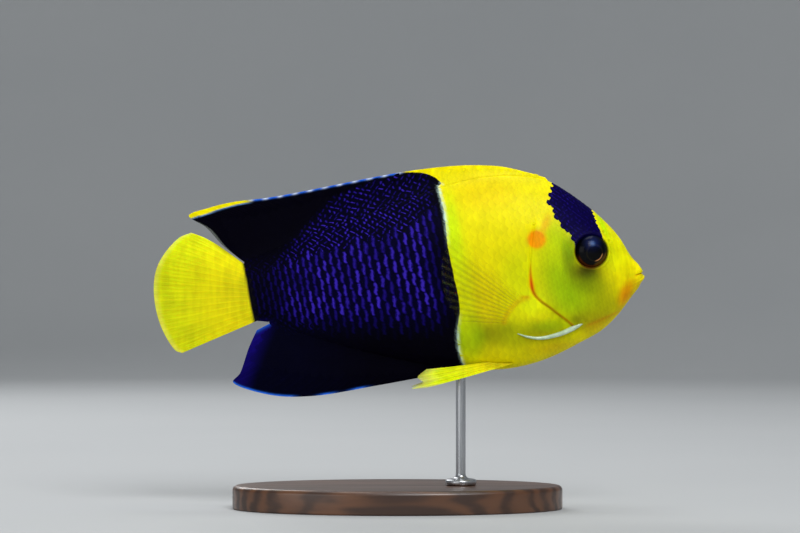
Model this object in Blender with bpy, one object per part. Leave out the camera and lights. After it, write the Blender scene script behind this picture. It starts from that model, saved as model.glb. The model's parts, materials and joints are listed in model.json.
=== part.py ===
"""A life-size bicolor angelfish, swimming, on a plain display stand.

Metres, +Z up. The snout points to +X, and +Y is the fish's left side. The origin is on the floor, at the
middle of the box that the whole model fills. Every place on the fish is worked out from two distances: how
far behind the tip of the snout it lies, and how far above the mouth.
"""

import math

import bmesh
import bpy
import numpy as np

MM = 0.001

# Driving sizes
TOTAL_LENGTH = 125 * MM
MOUTH_HEIGHT = 60 * MM  # the tip of the snout above the floor
NODE_GAP = 0.3 * MM  # between two nodes that meet
TAIL_SWING = 5 * MM  # how far the tail's tip is swept to the left side
SWING_START = 62 * MM  # behind the snout

# Outline of the body without its fins: (behind the snout, above the mouth)
BACK = ((0, 1.4), (2.8, 4.3), (5.9, 9.2), (9.9, 13.6), (16, 18.6), (24.2, 23.6), (32, 24.9), (41.5, 24.4),
        (51.7, 21.9), (62, 18.4), (75, 13.6), (87, 9.2), (94, 6.2), (102, 2.9))
BELLY = ((0, -2.6), (2.8, -6.2), (5.9, -10.3), (9.9, -14.3), (16, -17.9), (24.2, -21.9), (32.3, -24.2),
         (41.5, -24.9), (51.7, -24.0), (62, -22.1), (75, -19.0), (87, -15.4), (94, -12.9), (102, -11.9))
FLANK = ((0, 1.3), (1, 2.3), (2.8, 3.4), (5.9, 5.0), (9.9, 6.5), (16, 7.9), (24, 8.7), (32, 8.9),
         (41.5, 8.6), (51.7, 7.9), (62, 6.9), (75, 5.4), (87, 3.9), (94, 3.0), (102, 2.1))
# Half the thickness of the ridge that carries the dorsal fin, and of the one that carries the anal fin
BACK_RIDGE = ((0, 0.3), (24, 0.6), (35, 1.3), (70, 1.3), (102, 0.9))
BELLY_RIDGE = ((0, 0.3), (40, 0.5), (55, 1.2), (90, 1.2), (102, 0.8))
# How sharply a cross-section narrows to its ridge: 0.5 is an ellipse, and more is a wedge
BACK_WEDGE = ((0, 0.52), (16, 0.6), (40, 0.82), (102, 0.8))
BELLY_WEDGE = ((0, 0.52), (16, 0.6), (40, 0.6), (60, 0.78), (102, 0.8))
FLANK_FULLNESS = 2.3
SNOUT_ROUNDING = 1.1 * MM

# Edges between the body's nodes: (from the belly, -1, to the back, 1; behind the snout)
GILL_OPENING = ((-1, 15.0), (-0.68, 18.4), (-0.45, 23.2), (-0.27, 27.6), (-0.15, 28.6), (0.3, 28.4),
                (0.6, 27.2), (1, 24.4))
COLOUR_EDGE = ((-1, 45.2), (-0.8, 46.9), (-0.6, 47.4), (-0.35, 46.8), (0, 48.3), (0.3, 49.7), (0.7, 50.7),
               (1, 52.2))
HEAD_LENGTH = 24 * MM  # at the nape
CHEEK_EDGE = ((-1, 11.0), (-0.68, 15.4), (-0.35, 19.0), (0, 20.6), (0.4, 20.4), (1, 18.0))
TAIL_CUT = 88 * MM
STALK_END = 100.3 * MM  # at mid-height; the end leans back towards the top
STALK_END_LEAN = 1.4 * MM

# Gill cover: a plate between the cheek and the gill opening, raised a little over the shoulder
COVER_REACH = (-0.66, 0.42)  # its lowest and highest edge, as shares of half the depth
HALF_DEPTH = 20 * MM  # of the head, about the cover
COVER_THICK = 1.2 * MM
COVER_RAISE = 0.5 * MM
COVER_INSET = 0.2 * MM  # how far its rear edge stays ahead of the gill opening

# Eye, lips, mouth and nostrils
EYE_BACK, EYE_UP = 13.65 * MM, 5.5 * MM
EYE_RADIUS = 4.1 * MM
EYE_DEPTH = 2.6 * MM  # half its thickness across the head
EYE_PROUD = 1.15 * MM
EYE_FORWARD = math.radians(11)  # how far it looks ahead of sideways
RIM_RADIUS = 0.42 * MM
RIM_STEPS, RIM_SIDES = 18, 6
LIP_LENGTH, LIP_SPREAD = 2.9 * MM, 2.2 * MM
UPPER_LIP_RADIUS = 0.62 * MM
LOWER_LIP_RADIUS = 0.72 * MM
MOUTH_SLIT = 0.35 * MM
MOUTH_SLOPE = math.radians(16)
NOSTRIL_RADIUS = 0.42 * MM
NOSTRILS = ((8.9, 8.0), (10.3, 10.3))

# Cheek spine: (behind the snout, above the mouth, radius)
CHEEK_SPINE = ((14.6, -12.0, 0.65), (17.8, -13.8, 0.66), (21.5, -15.4, 0.6), (25.8, -16.4, 0.45),
               (29.2, -16.2, 0.3), (32.2, -15.3, 0.12))
SPINE_CLEARANCE = 0.36 * MM  # over the breast
SPINE_ROOT = 3.2 * MM  # how much of it rises out of the cheek

# Fins. Each edge runs along the rays' numbers as shares: (share, behind the snout, above the mouth)
DORSAL_ROOT = ((0, 24.6), (0.48, 75.9), (1, 101.0))
DORSAL_TIPS = ((0, 27.0, 25.0), (0.13, 38.0, 27.3), (0.3, 58.0, 26.2), (0.48, 93.0, 19.6), (0.6, 104.0, 17.6),
               (0.72, 111.0, 15.6), (0.8, 115.9, 14.6), (0.87, 111.5, 12.0), (0.94, 106.5, 8.0),
               (1, 102.6, 4.2))
DORSAL_SPINES, DORSAL_RAYS = 15, 16
ANAL_ROOT = ((0, 50.6), (1, 93.6))
ANAL_TIPS = ((0, 54.5, -26.2), (0.2, 67.5, -28.6), (0.45, 85.0, -31.4), (0.62, 96.0, -30.9),
             (0.74, 104.4, -28.0), (0.82, 102.6, -25.4), (0.92, 100.4, -19.0), (1, 98.4, -14.6))
ANAL_SPINES, ANAL_RAYS = 3, 17
CAUDAL_TIPS = ((0, 115.4, 10.3), (0.1, 118.6, 8.9), (0.3, 123.6, 2.6), (0.5, 125.0, -4.4),
               (0.7, 123.5, -12.6), (0.9, 119.6, -19.6), (1, 117.6, -20.5))
CAUDAL_REACH = 0.96  # of half the height of the stalk's end
CAUDAL_RAYS = 17
PECTORAL_ROOT = ((0, 31.3, -6.6), (0.5, 32.4, -9.6), (1, 34.8, -12.6))
PECTORAL_TIPS = ((0, 47.6, 10.0), (0.25, 50.6, 5.6), (0.55, 51.4, -1.2), (0.8, 49.8, -7.6),
                 (1, 46.4, -12.2))
PECTORAL_RAYS = 16
# Across the pectoral fin: (share of the way out, middle above the skin, half thickness)
PECTORAL_SECTION = ((0, 0.62, 0.15), (0.1, 1.05, 0.55), (0.24, 1.35, 0.42), (0.5, 1.95, 0.27),
                    (0.76, 2.8, 0.25), (1, 3.5, 0.25))
# The pelvic fin. Its root is (share, behind, from the midplane), and its tips (share, behind, above, from the
# midplane)
PELVIC_ROOT = ((0, 33.0, 3.4), (1, 36.4, 2.0))
PELVIC_TIPS = ((0, 57.6, -29.4, 7.2), (0.25, 58.9, -29.2, 6.6), (0.7, 56.4, -27.6, 4.4),
               (1, 51.5, -26.4, 3.1))
PELVIC_BOW = 0.9 * MM  # how far its rays sag halfway out
PELVIC_ROOT_SWELL = 0.35 * MM
PELVIC_RAYS = 6
MEMBRANE = 0.5 * MM
RAY_RIDGE = 0.34 * MM  # how much thicker the fin is along a ray
SPINE_RIDGE = 0.6 * MM
FOOT = 0.3  # half a ray's width, as a share of the space between rays
ROOT_SHARE = 0.95  # a fin's thickness at its root, as a share of what carries it

# Stand
BASE_LENGTH, BASE_WIDTH, BASE_THICK = 84 * MM, 46 * MM, 6 * MM
BASE_BEVEL = 1.2 * MM
ROD_RADIUS = 1.25 * MM
ROD_BACK = 46.4 * MM  # behind the snout, between the pelvic fins
FOOT_RADIUS, FOOT_HEIGHT = 4 * MM, 1.8 * MM

YELLOW = (0.86, 0.66, 0.0)
BLUE = (0.03, 0.015, 0.26)


def smooth(points, scale_x=MM, scale_y=MM):
    """A smooth curve through a few (x, y) points, as a function of x. Its ends are held beyond the points."""
    x = np.array([p[0] for p in points]) * scale_x
    y = np.array([p[1] for p in points]) * scale_y
    rise = np.diff(y) / np.diff(x)
    slope = np.concatenate([rise[:1], (rise[:-1] + rise[1:]) / 2, rise[-1:]])

    def value(at):
        at = np.clip(np.asarray(at, float), x[0], x[-1])
        i = np.clip(np.searchsorted(x, at, side="right") - 1, 0, len(x) - 2)
        width = x[i + 1] - x[i]
        t = (at - x[i]) / width
        return ((1 + 2 * t) * (1 - t) ** 2 * y[i] + t * (1 - t) ** 2 * width * slope[i]
                + t * t * (3 - 2 * t) * y[i + 1] + t * t * (t - 1) * width * slope[i + 1])

    return value


def along(edge, column):
    """One coordinate of a fin's edge, as a smooth function of the share along the fin."""
    return smooth([(p[0], p[column]) for p in edge], scale_x=1)


back_line, belly_line, flank_line = smooth(BACK), smooth(BELLY), smooth(FLANK)
back_ridge, belly_ridge = smooth(BACK_RIDGE), smooth(BELLY_RIDGE)
back_wedge, belly_wedge = smooth(BACK_WEDGE, scale_y=1), smooth(BELLY_WEDGE, scale_y=1)
gill_opening = smooth(GILL_OPENING, scale_x=1)
colour_edge = smooth(COLOUR_EDGE, scale_x=1)
cheek_edge = smooth(CHEEK_EDGE, scale_x=1)


def ease(t):
    """0 below 0, 1 above 1, and smooth between."""
    t = np.clip(t, 0, 1)
    return t * t * (3 - 2 * t)


def swing(behind):
    """How far the body's midplane is swept to the left at a distance behind the snout."""
    share = np.clip((behind - SWING_START) / (TOTAL_LENGTH - SWING_START), 0, 1)
    return TAIL_SWING * share * share


def place(behind, up, aside):
    """Points in the model's frame, from distances behind the snout, above the mouth and to the left."""
    return np.stack([TOTAL_LENGTH / 2 - behind, aside + swing(behind), MOUTH_HEIGHT + up], axis=-1)


def snout_round(behind):
    """Rounds the tip of the snout like a ball: 0 at the tip, and 1 past the rounding."""
    t = np.clip(1 - behind / SNOUT_ROUNDING, 0, 1)
    return np.sqrt(1 - t * t)


def height_at(behind, level):
    """Height above the mouth of a level from the belly, -1, to the back, 1."""
    middle = (back_line(behind) + belly_line(behind)) / 2
    half = (back_line(behind) - belly_line(behind)) / 2
    return middle + level * half * snout_round(behind)


def level_at(behind, up):
    """The level of a height above the mouth, the other way round."""
    middle = (back_line(behind) + belly_line(behind)) / 2
    half = (back_line(behind) - belly_line(behind)) / 2
    return (up - middle) / (half * np.maximum(snout_round(behind), 0.05))


def half_width(behind, level):
    """Distance from the midplane to the skin: a wedge with a full flank, widening from its ridge."""
    level = np.clip(level, -1, 1)
    ridge = np.where(level > 0, back_ridge(behind), belly_ridge(behind))
    wedge = np.where(level > 0, back_wedge(behind), belly_wedge(behind))
    shape = (1 - np.abs(level) ** FLANK_FULLNESS) ** wedge
    full = flank_line(behind)
    ridge = np.minimum(ridge, full)
    return (ridge + (full - ridge) * shape) * snout_round(behind)


def belly_at(behind, aside):
    """Height above the mouth of the belly's skin at a distance from the midplane."""
    ridge, full = belly_ridge(behind), flank_line(behind)
    shape = (aside - ridge) / (full - ridge)
    return height_at(behind, -(1 - shape ** (1 / belly_wedge(behind))) ** (1 / FLANK_FULLNESS))


def skin_at(behind, up):
    """Distance from the midplane to the skin at a height above the mouth."""
    return half_width(behind, level_at(behind, up))


def material(name, colour, roughness, metallic=0.0):
    made = bpy.data.materials.new(name)
    made.use_nodes = True
    shader = made.node_tree.nodes["Principled BSDF"]
    shader.inputs["Base Color"].default_value = (*colour, 1)
    shader.inputs["Roughness"].default_value = roughness
    shader.inputs["Metallic"].default_value = metallic
    return made


def mesh_object(name, points, faces, finish):
    mesh = bpy.data.meshes.new(name)
    mesh.from_pydata([tuple(p) for p in points], [], [tuple(f) for f in faces])
    mesh.materials.append(finish)
    mesh.shade_smooth()
    mesh.set_sharp_from_angle(angle=math.radians(40))
    made = bpy.data.objects.new(name, mesh)
    bpy.context.scene.collection.objects.link(made)
    return made


def closed_mesh(name, points, faces, finish):
    """A closed mesh of triangles, turned right side out, so that its summed volume is positive."""
    volume = np.linalg.det(points[faces]).sum()
    return mesh_object(name, points, faces if volume > 0 else faces[:, ::-1], finish)


def grid_faces(rows, columns, first=0, flip=False):
    """Triangles over a grid of points, with the same diagonal everywhere."""
    r, c = np.meshgrid(np.arange(rows - 1), np.arange(columns - 1), indexing="ij")
    a = (first + r * columns + c).ravel()
    low = np.stack([a, a + 1, a + columns + 1], axis=1)
    high = np.stack([a, a + columns + 1, a + columns], axis=1)
    faces = np.concatenate([low, high])
    return faces[:, ::-1] if flip else faces


def plate(name, middle, half, finish):
    """A closed plate: a grid of middle points, thickened by half a thickness to both sides of itself."""
    along_rays = np.gradient(middle, axis=0)
    across_rays = np.gradient(middle, axis=1)
    normal = np.cross(along_rays, across_rays)
    normal /= np.linalg.norm(normal, axis=-1, keepdims=True)
    rows, columns = half.shape
    one = middle + normal * half[..., None]
    other = middle - normal * half[..., None]
    points = np.concatenate([one.reshape(-1, 3), other.reshape(-1, 3)])
    number = np.arange(rows * columns).reshape(rows, columns)
    rim = np.concatenate([number[0, :], number[1:, -1], number[-1, -2::-1], number[-2:0:-1, 0]])
    ahead = np.roll(rim, -1)
    shift = rows * columns
    sides = np.concatenate([np.stack([rim, ahead, rim + shift], axis=1),
                            np.stack([ahead, ahead + shift, rim + shift], axis=1)])
    faces = np.concatenate([grid_faces(rows, columns, flip=True), grid_faces(rows, columns, shift), sides])
    return closed_mesh(name, points, faces, finish)


def body_length(name, stations, edge_at, finish, points_a_side):
    """A closed length of the body: rings of points at edge_at(station, level), closed across both ends."""
    turn = np.linspace(0, math.pi, points_a_side + 2)
    level = np.cos(turn)
    behind = np.array([edge_at(station, level) for station in stations])
    wide = half_width(behind, np.broadcast_to(level, behind.shape))
    wide[:, [0, -1]] = 0
    up = height_at(behind, level)
    right = place(behind, up, -wide)
    left = place(behind, up, wide)[:, -2:0:-1]
    rings = np.concatenate([right, left], axis=1)
    count, around = rings.shape[:2]
    points = rings.reshape(-1, 3)
    ring = np.arange(around)
    ahead = np.roll(ring, -1)
    faces = []
    for i in range(count - 1):
        a, b = i * around, (i + 1) * around
        faces += [(a + p, a + q, b + q) for p, q in zip(ring, ahead)]
        faces += [(a + p, b + q, b + p) for p, q in zip(ring, ahead)]
    for first, inward in ((0, True), ((count - 1) * around, False)):
        rungs = [(k, around - k) for k in range(1, points_a_side + 1)]
        cap = [(0, 1, around - 1), (points_a_side + 1, around - points_a_side, points_a_side)]
        for (r0, l0), (r1, l1) in zip(rungs, rungs[1:]):
            cap += [(r0, r1, l1), (r0, l1, l0)]
        faces += [tuple(first + k for k in (f[::-1] if inward else f)) for f in cap]
    return closed_mesh(name, points, np.array(faces), finish)


def tube(name, path, radii, sides, finish, across=(0, 0, 1)):
    """A closed round rod along a path, with a radius at each point. The path never runs along across."""
    path, radii = np.array(path), np.array(radii)
    heading = np.gradient(path, axis=0)
    heading /= np.linalg.norm(heading, axis=1, keepdims=True)
    first = np.cross(heading, across)
    first /= np.linalg.norm(first, axis=1, keepdims=True)
    second = np.cross(heading, first)
    turn = np.linspace(0, 2 * math.pi, sides, endpoint=False)
    rings = (path[:, None] + radii[:, None, None]
             * (np.cos(turn)[None, :, None] * first[:, None] + np.sin(turn)[None, :, None] * second[:, None]))
    points = np.concatenate([rings.reshape(-1, 3), path[[0, -1]]])
    faces = []
    for i in range(len(path) - 1):
        for k in range(sides):
            a, b = i * sides + k, i * sides + (k + 1) % sides
            faces += [(a, b, b + sides), (a, b + sides, a + sides)]
    start, end, last = len(points) - 2, len(points) - 1, (len(path) - 1) * sides
    for k in range(sides):
        faces += [(start, (k + 1) % sides, k), (end, last + k, last + (k + 1) % sides)]
    return closed_mesh(name, points, np.array(faces), finish)


def ball(name, centre, radii, finish, around=24, rings=12, forward=0.0):
    """An ellipsoid with its poles to the sides, turned a little towards the snout."""
    turn = np.linspace(0, 2 * math.pi, around, endpoint=False)
    tilt = np.linspace(0, math.pi, rings + 1)[1:-1]
    ring = np.stack([np.sin(tilt)[:, None] * np.cos(turn), -np.cos(tilt)[:, None] * np.ones(around),
                     np.sin(tilt)[:, None] * np.sin(turn)], axis=-1).reshape(-1, 3)
    points = np.concatenate([ring, [(0, -1, 0), (0, 1, 0)]]) * np.array(radii)
    c, s = math.cos(forward), math.sin(forward)
    points = points @ np.array([[c, -s, 0], [s, c, 0], [0, 0, 1]]).T + np.array(centre)
    faces, low, high = [], len(points) - 2, len(points) - 1
    for k in range(around):
        n = (k + 1) % around
        faces += [(low, k, n), (high, len(ring) - around + n, len(ring) - around + k)]
        for i in range(rings - 2):
            a = i * around
            faces += [(a + k, a + around + k, a + around + n), (a + k, a + around + n, a + n)]
    return closed_mesh(name, points, np.array(faces), finish)


def combine(target, others, operation):
    """Applies one Boolean of a whole collection to the target, and removes the collection's objects."""
    group = bpy.data.collections.new(f"{target.name} {operation.lower()}")
    bpy.context.scene.collection.children.link(group)
    for other in others:
        bpy.context.scene.collection.objects.unlink(other)
        group.objects.link(other)
    modifier = target.modifiers.new("Boolean", "BOOLEAN")
    modifier.operation, modifier.operand_type, modifier.collection = operation, "COLLECTION", group
    bpy.context.view_layer.update()
    evaluated = target.evaluated_get(bpy.context.evaluated_depsgraph_get())
    mesh = bpy.data.meshes.new_from_object(evaluated)
    target.modifiers.clear()
    target.data = mesh
    for other in others:
        bpy.data.objects.remove(other)
    bpy.data.collections.remove(group)
    keep_largest(mesh)


def keep_largest(mesh):
    """Deletes every separate surface of a mesh but the one with the most faces."""
    grown = bmesh.new()
    grown.from_mesh(mesh)
    left, surfaces = set(grown.faces), []
    while left:
        surface, edge = set(), {next(iter(left))}
        while edge:
            surface |= edge
            edge = {other for face in edge for side in face.edges for other in side.link_faces} - surface
        surfaces.append(surface)
        left -= surface
    surfaces.sort(key=len)
    scraps = [face for surface in surfaces[:-1] for face in surface]
    bmesh.ops.delete(grown, geom=scraps, context="FACES")
    grown.to_mesh(mesh)
    grown.free()


def ray_columns(counts):
    """Shares along a fin where its columns of points stand, and how raised each one is.

    Every ray has a foot, a crest and a foot. counts is a list of (number of rays, height of the ridge)."""
    total = sum(count for count, _ in counts)
    heights = np.concatenate([np.full(count, ridge) for count, ridge in counts])
    centre = np.arange(total) / (total - 1)
    foot = FOOT / (total - 1)
    shares = np.stack([centre - foot, centre, centre + foot], axis=1).ravel()
    raised = np.stack([heights * 0, heights, heights * 0], axis=1).ravel()
    return shares[1:-1], raised[1:-1]


def median_fin(name, root, tips, counts, rows, root_half, tip_half, finish):
    """A fin in the midplane. root and tips are its edges over the shares, root_half half its thickness."""
    shares, raised = ray_columns(counts)
    start, end = root(shares), tips(shares)
    out = np.linspace(0, 1, rows)
    grid = start[:, None] + (end - start)[:, None] * out[None, :, None]
    thick = root_half(shares)[:, None] + (tip_half - root_half(shares)[:, None]) * ease(out * 1.6)
    half = thick + raised[:, None] / 2 * (1 - 0.75 * out)
    middle = place(grid[..., 0], grid[..., 1], np.zeros(grid.shape[:2]))
    return plate(name, middle, half, finish)


def paired_fin(name, side, middle_at, counts, out, half_along, finish):
    """A fin on one side, -1 right or 1 left.

    middle_at gives (behind, above, aside) over the shares and out, the shares of the way from the root to the
    edge. half_along is the membrane's half thickness at each of out."""
    shares, raised = ray_columns(counts)
    half = half_along + raised[:, None] / 2 * (1 - 0.8 * out)
    behind, up, aside = middle_at(shares, out)
    return plate(name, place(behind, up, side * aside), half, finish)


def head(finish):
    """The head, with lips, mouth, nostrils, eye rims, eye sockets and a recess for each gill cover."""
    stations = np.linspace(0.1, 1, 17) ** 1.5

    def edge_at(station, level):
        straight = station * HEAD_LENGTH
        return straight + station ** 2 * (gill_opening(level) - HEAD_LENGTH)

    made = body_length("head", stations, edge_at, finish, 24)
    pieces = [lip("upper_lip", 1, UPPER_LIP_RADIUS, finish), lip("lower_lip", -1, LOWER_LIP_RADIUS, finish)]
    for side in (-1, 1):
        pieces += [eye_rim(side, finish), cheek_spine(side, finish)]
    combine(made, pieces, "UNION")
    cutters = [mouth_slit(finish)]
    for side in (-1, 1):
        cutters.append(gill_cover("recess", side, finish, NODE_GAP))
        cutters.append(eyeball("socket", side, NODE_GAP, finish))
        for behind, up in NOSTRILS:
            behind, up = behind * MM, up * MM
            centre = place(behind, up, side * (skin_at(behind, up) + 0.1 * MM))
            cutters.append(ball("nostril", centre, [NOSTRIL_RADIUS] * 3, finish, 8, 6))
    combine(made, cutters, "DIFFERENCE")
    return made


def lip(name, side, radius, finish):
    """A round lip, upper for side 1, that bends from one corner of the mouth round the snout to the other."""
    turn = np.linspace(-math.pi / 2, math.pi / 2, 11)
    behind = LIP_LENGTH - (LIP_LENGTH - radius) * np.cos(turn)
    up = mouth_line(behind) + side * radius
    aside = np.sin(turn) * LIP_SPREAD
    radii = radius * (0.55 + 0.45 * np.cos(turn))
    return tube(name, place(behind, up, aside), radii, 8, finish)


def mouth_line(behind):
    """Height of the line of the mouth, which slopes down from the lips to its corners."""
    return -behind * math.tan(MOUTH_SLOPE)


def mouth_slit(finish):
    """A thin wedge wider than the head, from in front of the lips to the corners of the mouth."""
    behind = np.array([-1 * MM, LIP_LENGTH])
    half = np.array([MOUTH_SLIT, MOUTH_SLIT * 0.3]) / 2
    wide = 2 * LIP_SPREAD
    points = [place(b, mouth_line(b) + sign * h, np.array(aside))
              for b, h in zip(behind, half) for aside in (-wide, wide) for sign in (-1, 1)]
    squares = [(0, 1, 3, 2), (4, 6, 7, 5), (0, 4, 5, 1), (2, 3, 7, 6), (0, 2, 6, 4), (1, 5, 7, 3)]
    faces = [(f[0], f[i], f[i + 1]) for f in squares for i in (1, 2)]
    return closed_mesh("slit", np.array(points), np.array(faces), finish)


def eyeball(name, side, grow, finish):
    """An eye, or the hollow that it sits in when grown by a gap."""
    centre = place(EYE_BACK, EYE_UP, side * (skin_at(EYE_BACK, EYE_UP) + EYE_PROUD - EYE_DEPTH))
    sizes = [EYE_RADIUS + grow, EYE_DEPTH + grow, EYE_RADIUS + grow]
    return ball(name, centre, sizes, finish, 20, 10, side * EYE_FORWARD)


def eye_rim(side, finish):
    """The ring of skin round the eye, half sunk in the head."""
    turn = np.linspace(0, 2 * math.pi, RIM_STEPS, endpoint=False)
    radius = EYE_RADIUS + 0.15 * MM
    behind = EYE_BACK + radius * np.cos(turn)
    up = EYE_UP + radius * np.sin(turn)
    centre = place(behind, up, side * skin_at(behind, up))
    outward = np.stack([-np.cos(turn), np.zeros(RIM_STEPS), np.sin(turn)], axis=1)
    sideways = np.array([0, side, 0])
    around = np.linspace(0, 2 * math.pi, RIM_SIDES, endpoint=False)
    rings = (centre[:, None] + RIM_RADIUS * (np.cos(around)[None, :, None] * outward[:, None]
                                             + np.sin(around)[None, :, None] * sideways))
    faces = []
    for i in range(RIM_STEPS):
        for k in range(RIM_SIDES):
            here, ahead, beside = i * RIM_SIDES, (i + 1) % RIM_STEPS * RIM_SIDES, (k + 1) % RIM_SIDES
            faces += [(here + k, here + beside, ahead + beside), (here + k, ahead + beside, ahead + k)]
    return closed_mesh("rim", rings.reshape(-1, 3), np.array(faces), finish)


def cheek_spine(side, finish):
    """The long curved spine at the corner of the cheek. Its root is sunk in, and it lies over the breast."""
    share = np.linspace(0, 1, len(CHEEK_SPINE))
    coordinates = [smooth(list(zip(share, [p[i] for p in CHEEK_SPINE])), scale_x=1) for i in range(3)]
    behind, up, radius = (c(np.linspace(0, 1, 12)) for c in coordinates)
    lift = radius + SPINE_CLEARANCE
    aside = skin_at(behind, up) + lift - (lift + radius) * (1 - ease((behind - behind[0]) / SPINE_ROOT))
    return tube("spine", place(behind, up, side * aside), radius, 7, finish)


def gill_cover(name, side, finish, grow=0.0):
    """A plate in the side of the head, a little proud along the gill opening.

    Grown by a gap, it reaches out past the skin and back past the opening, and cuts its own recess."""
    low, high = COVER_REACH
    spread = grow / HALF_DEPTH
    level = np.linspace(low - spread, high + spread, 13)[:, None]
    front, rear = cheek_edge(level) - grow, gill_opening(level) + (2 * grow or -COVER_INSET)
    share = np.linspace(0, 1, 7)[None]
    behind = front + (rear - front) * share
    level = np.broadcast_to(level, behind.shape)
    skin = half_width(behind, level)
    outer = skin + COVER_RAISE * ease(share * 1.2) + 3 * grow
    inner = skin - COVER_THICK - grow
    middle = place(behind, height_at(behind, level), side * (outer + inner) / 2)
    return plate(name, middle, (outer - inner) / 2, finish)


def dorsal_fin(finish):
    root_s, tip_s, tip_h = along(DORSAL_ROOT, 1), along(DORSAL_TIPS, 1), along(DORSAL_TIPS, 2)

    def root(shares):
        behind = root_s(np.clip(shares, 0, 1))
        return np.stack([behind, back_line(behind) + NODE_GAP], axis=1)

    def tips(shares):
        return np.stack([tip_s(shares), tip_h(shares)], axis=1)

    return median_fin("dorsal_fin", root, tips, [(DORSAL_SPINES, SPINE_RIDGE), (DORSAL_RAYS, RAY_RIDGE)], 5,
                      lambda shares: back_ridge(root_s(shares)) * ROOT_SHARE, MEMBRANE / 2, finish)


def anal_fin(finish):
    root_s, tip_s, tip_h = along(ANAL_ROOT, 1), along(ANAL_TIPS, 1), along(ANAL_TIPS, 2)

    def root(shares):
        behind = root_s(np.clip(shares, 0, 1))
        return np.stack([behind, belly_line(behind) - NODE_GAP], axis=1)

    def tips(shares):
        return np.stack([tip_s(shares), tip_h(shares)], axis=1)

    return median_fin("anal_fin", root, tips, [(ANAL_SPINES, SPINE_RIDGE), (ANAL_RAYS, RAY_RIDGE)], 5,
                      lambda shares: belly_ridge(root_s(shares)) * ROOT_SHARE, MEMBRANE / 2, finish)


def stalk_end(level):
    """How far behind the snout the tail stalk ends, at a level from the belly to the back."""
    return STALK_END + STALK_END_LEAN * level


def caudal_fin(finish):
    tip_s, tip_h = along(CAUDAL_TIPS, 1), along(CAUDAL_TIPS, 2)

    def root(shares):
        level = CAUDAL_REACH * (1 - 2 * np.clip(shares, 0, 1))
        behind = stalk_end(level) + NODE_GAP
        return np.stack([behind, height_at(behind, level)], axis=1)

    def tips(shares):
        return np.stack([tip_s(shares), tip_h(shares)], axis=1)

    def root_half(shares):
        level = CAUDAL_REACH * (1 - 2 * np.clip(shares, 0, 1))
        return half_width(stalk_end(level), level) * ROOT_SHARE

    rays = [(CAUDAL_RAYS, RAY_RIDGE)]
    return median_fin("caudal_fin", root, tips, rays, 7, root_half, MEMBRANE / 2, finish)


def pectoral_fin(name, side, finish):
    """A fan of rays from a fleshy lobe that lies against the body, standing out more towards its edge."""
    root_s, root_h = along(PECTORAL_ROOT, 1), along(PECTORAL_ROOT, 2)
    tip_s, tip_h = along(PECTORAL_TIPS, 1), along(PECTORAL_TIPS, 2)
    out, lift, half = (np.array(row) for row in zip(*PECTORAL_SECTION))

    def middle_at(shares, out):
        shares = np.clip(shares, 0, 1)[:, None]
        behind = root_s(shares) + (tip_s(shares) - root_s(shares)) * out
        up = root_h(shares) + (tip_h(shares) - root_h(shares)) * out
        return behind, up, skin_at(behind, up) + lift * MM

    return paired_fin(name, side, middle_at, [(PECTORAL_RAYS, RAY_RIDGE)], out, half * MM, finish)


def pelvic_fin(name, side, finish):
    """A narrow fin folded back under the belly, from a root that follows the belly's own skin."""
    root_s, root_y = along(PELVIC_ROOT, 1), along(PELVIC_ROOT, 2)
    tip_s, tip_h, tip_y = (along(PELVIC_TIPS, column) for column in (1, 2, 3))
    out = np.linspace(0, 1, 8)
    half = MEMBRANE / 2 + PELVIC_ROOT_SWELL * (1 - ease(out * 2.5))
    ridge = RAY_RIDGE / 2

    def middle_at(shares, out):
        shares = np.clip(shares, 0, 1)[:, None]
        start_h = belly_at(root_s(shares), root_y(shares)) - half[0] - ridge - NODE_GAP
        behind = root_s(shares) + (tip_s(shares) - root_s(shares)) * out
        up = start_h + (tip_h(shares) - start_h) * out - PELVIC_BOW * np.sin(math.pi * out)
        return behind, up, root_y(shares) + (tip_y(shares) - root_y(shares)) * out

    return paired_fin(name, side, middle_at, [(PELVIC_RAYS, RAY_RIDGE)], out, half, finish)


def stand(base_finish, rod_finish):
    """A flat oval base with a rounded top edge, and one round rod up to the belly."""
    bpy.ops.mesh.primitive_cylinder_add(vertices=56, radius=1, depth=1, location=(0, 0, BASE_THICK / 2))
    base = bpy.context.active_object
    base.name = base.data.name = "stand_base"
    base.scale = (BASE_LENGTH / 2, BASE_WIDTH / 2, BASE_THICK)
    bpy.ops.object.transform_apply(scale=True)
    rounding = base.modifiers.new("Rounded edges", "BEVEL")
    rounding.width, rounding.segments, rounding.limit_method = BASE_BEVEL, 2, "ANGLE"
    base.data.materials.append(base_finish)
    base.data.shade_smooth()
    base.data.set_sharp_from_angle(angle=math.radians(40))
    top = MOUTH_HEIGHT + float(belly_line(ROD_BACK)) - NODE_GAP
    foot = BASE_THICK + NODE_GAP
    x = TOTAL_LENGTH / 2 - ROD_BACK
    heights = foot + np.array([0, 0.6, 1, 1]) * FOOT_HEIGHT
    path = [(x, 0, z) for z in (*heights, top)]
    radii = [FOOT_RADIUS, FOOT_RADIUS, FOOT_RADIUS * 0.75, ROD_RADIUS, ROD_RADIUS]
    tube("stand_rod", path, radii, 16, rod_finish, (0, 1, 0))


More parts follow.
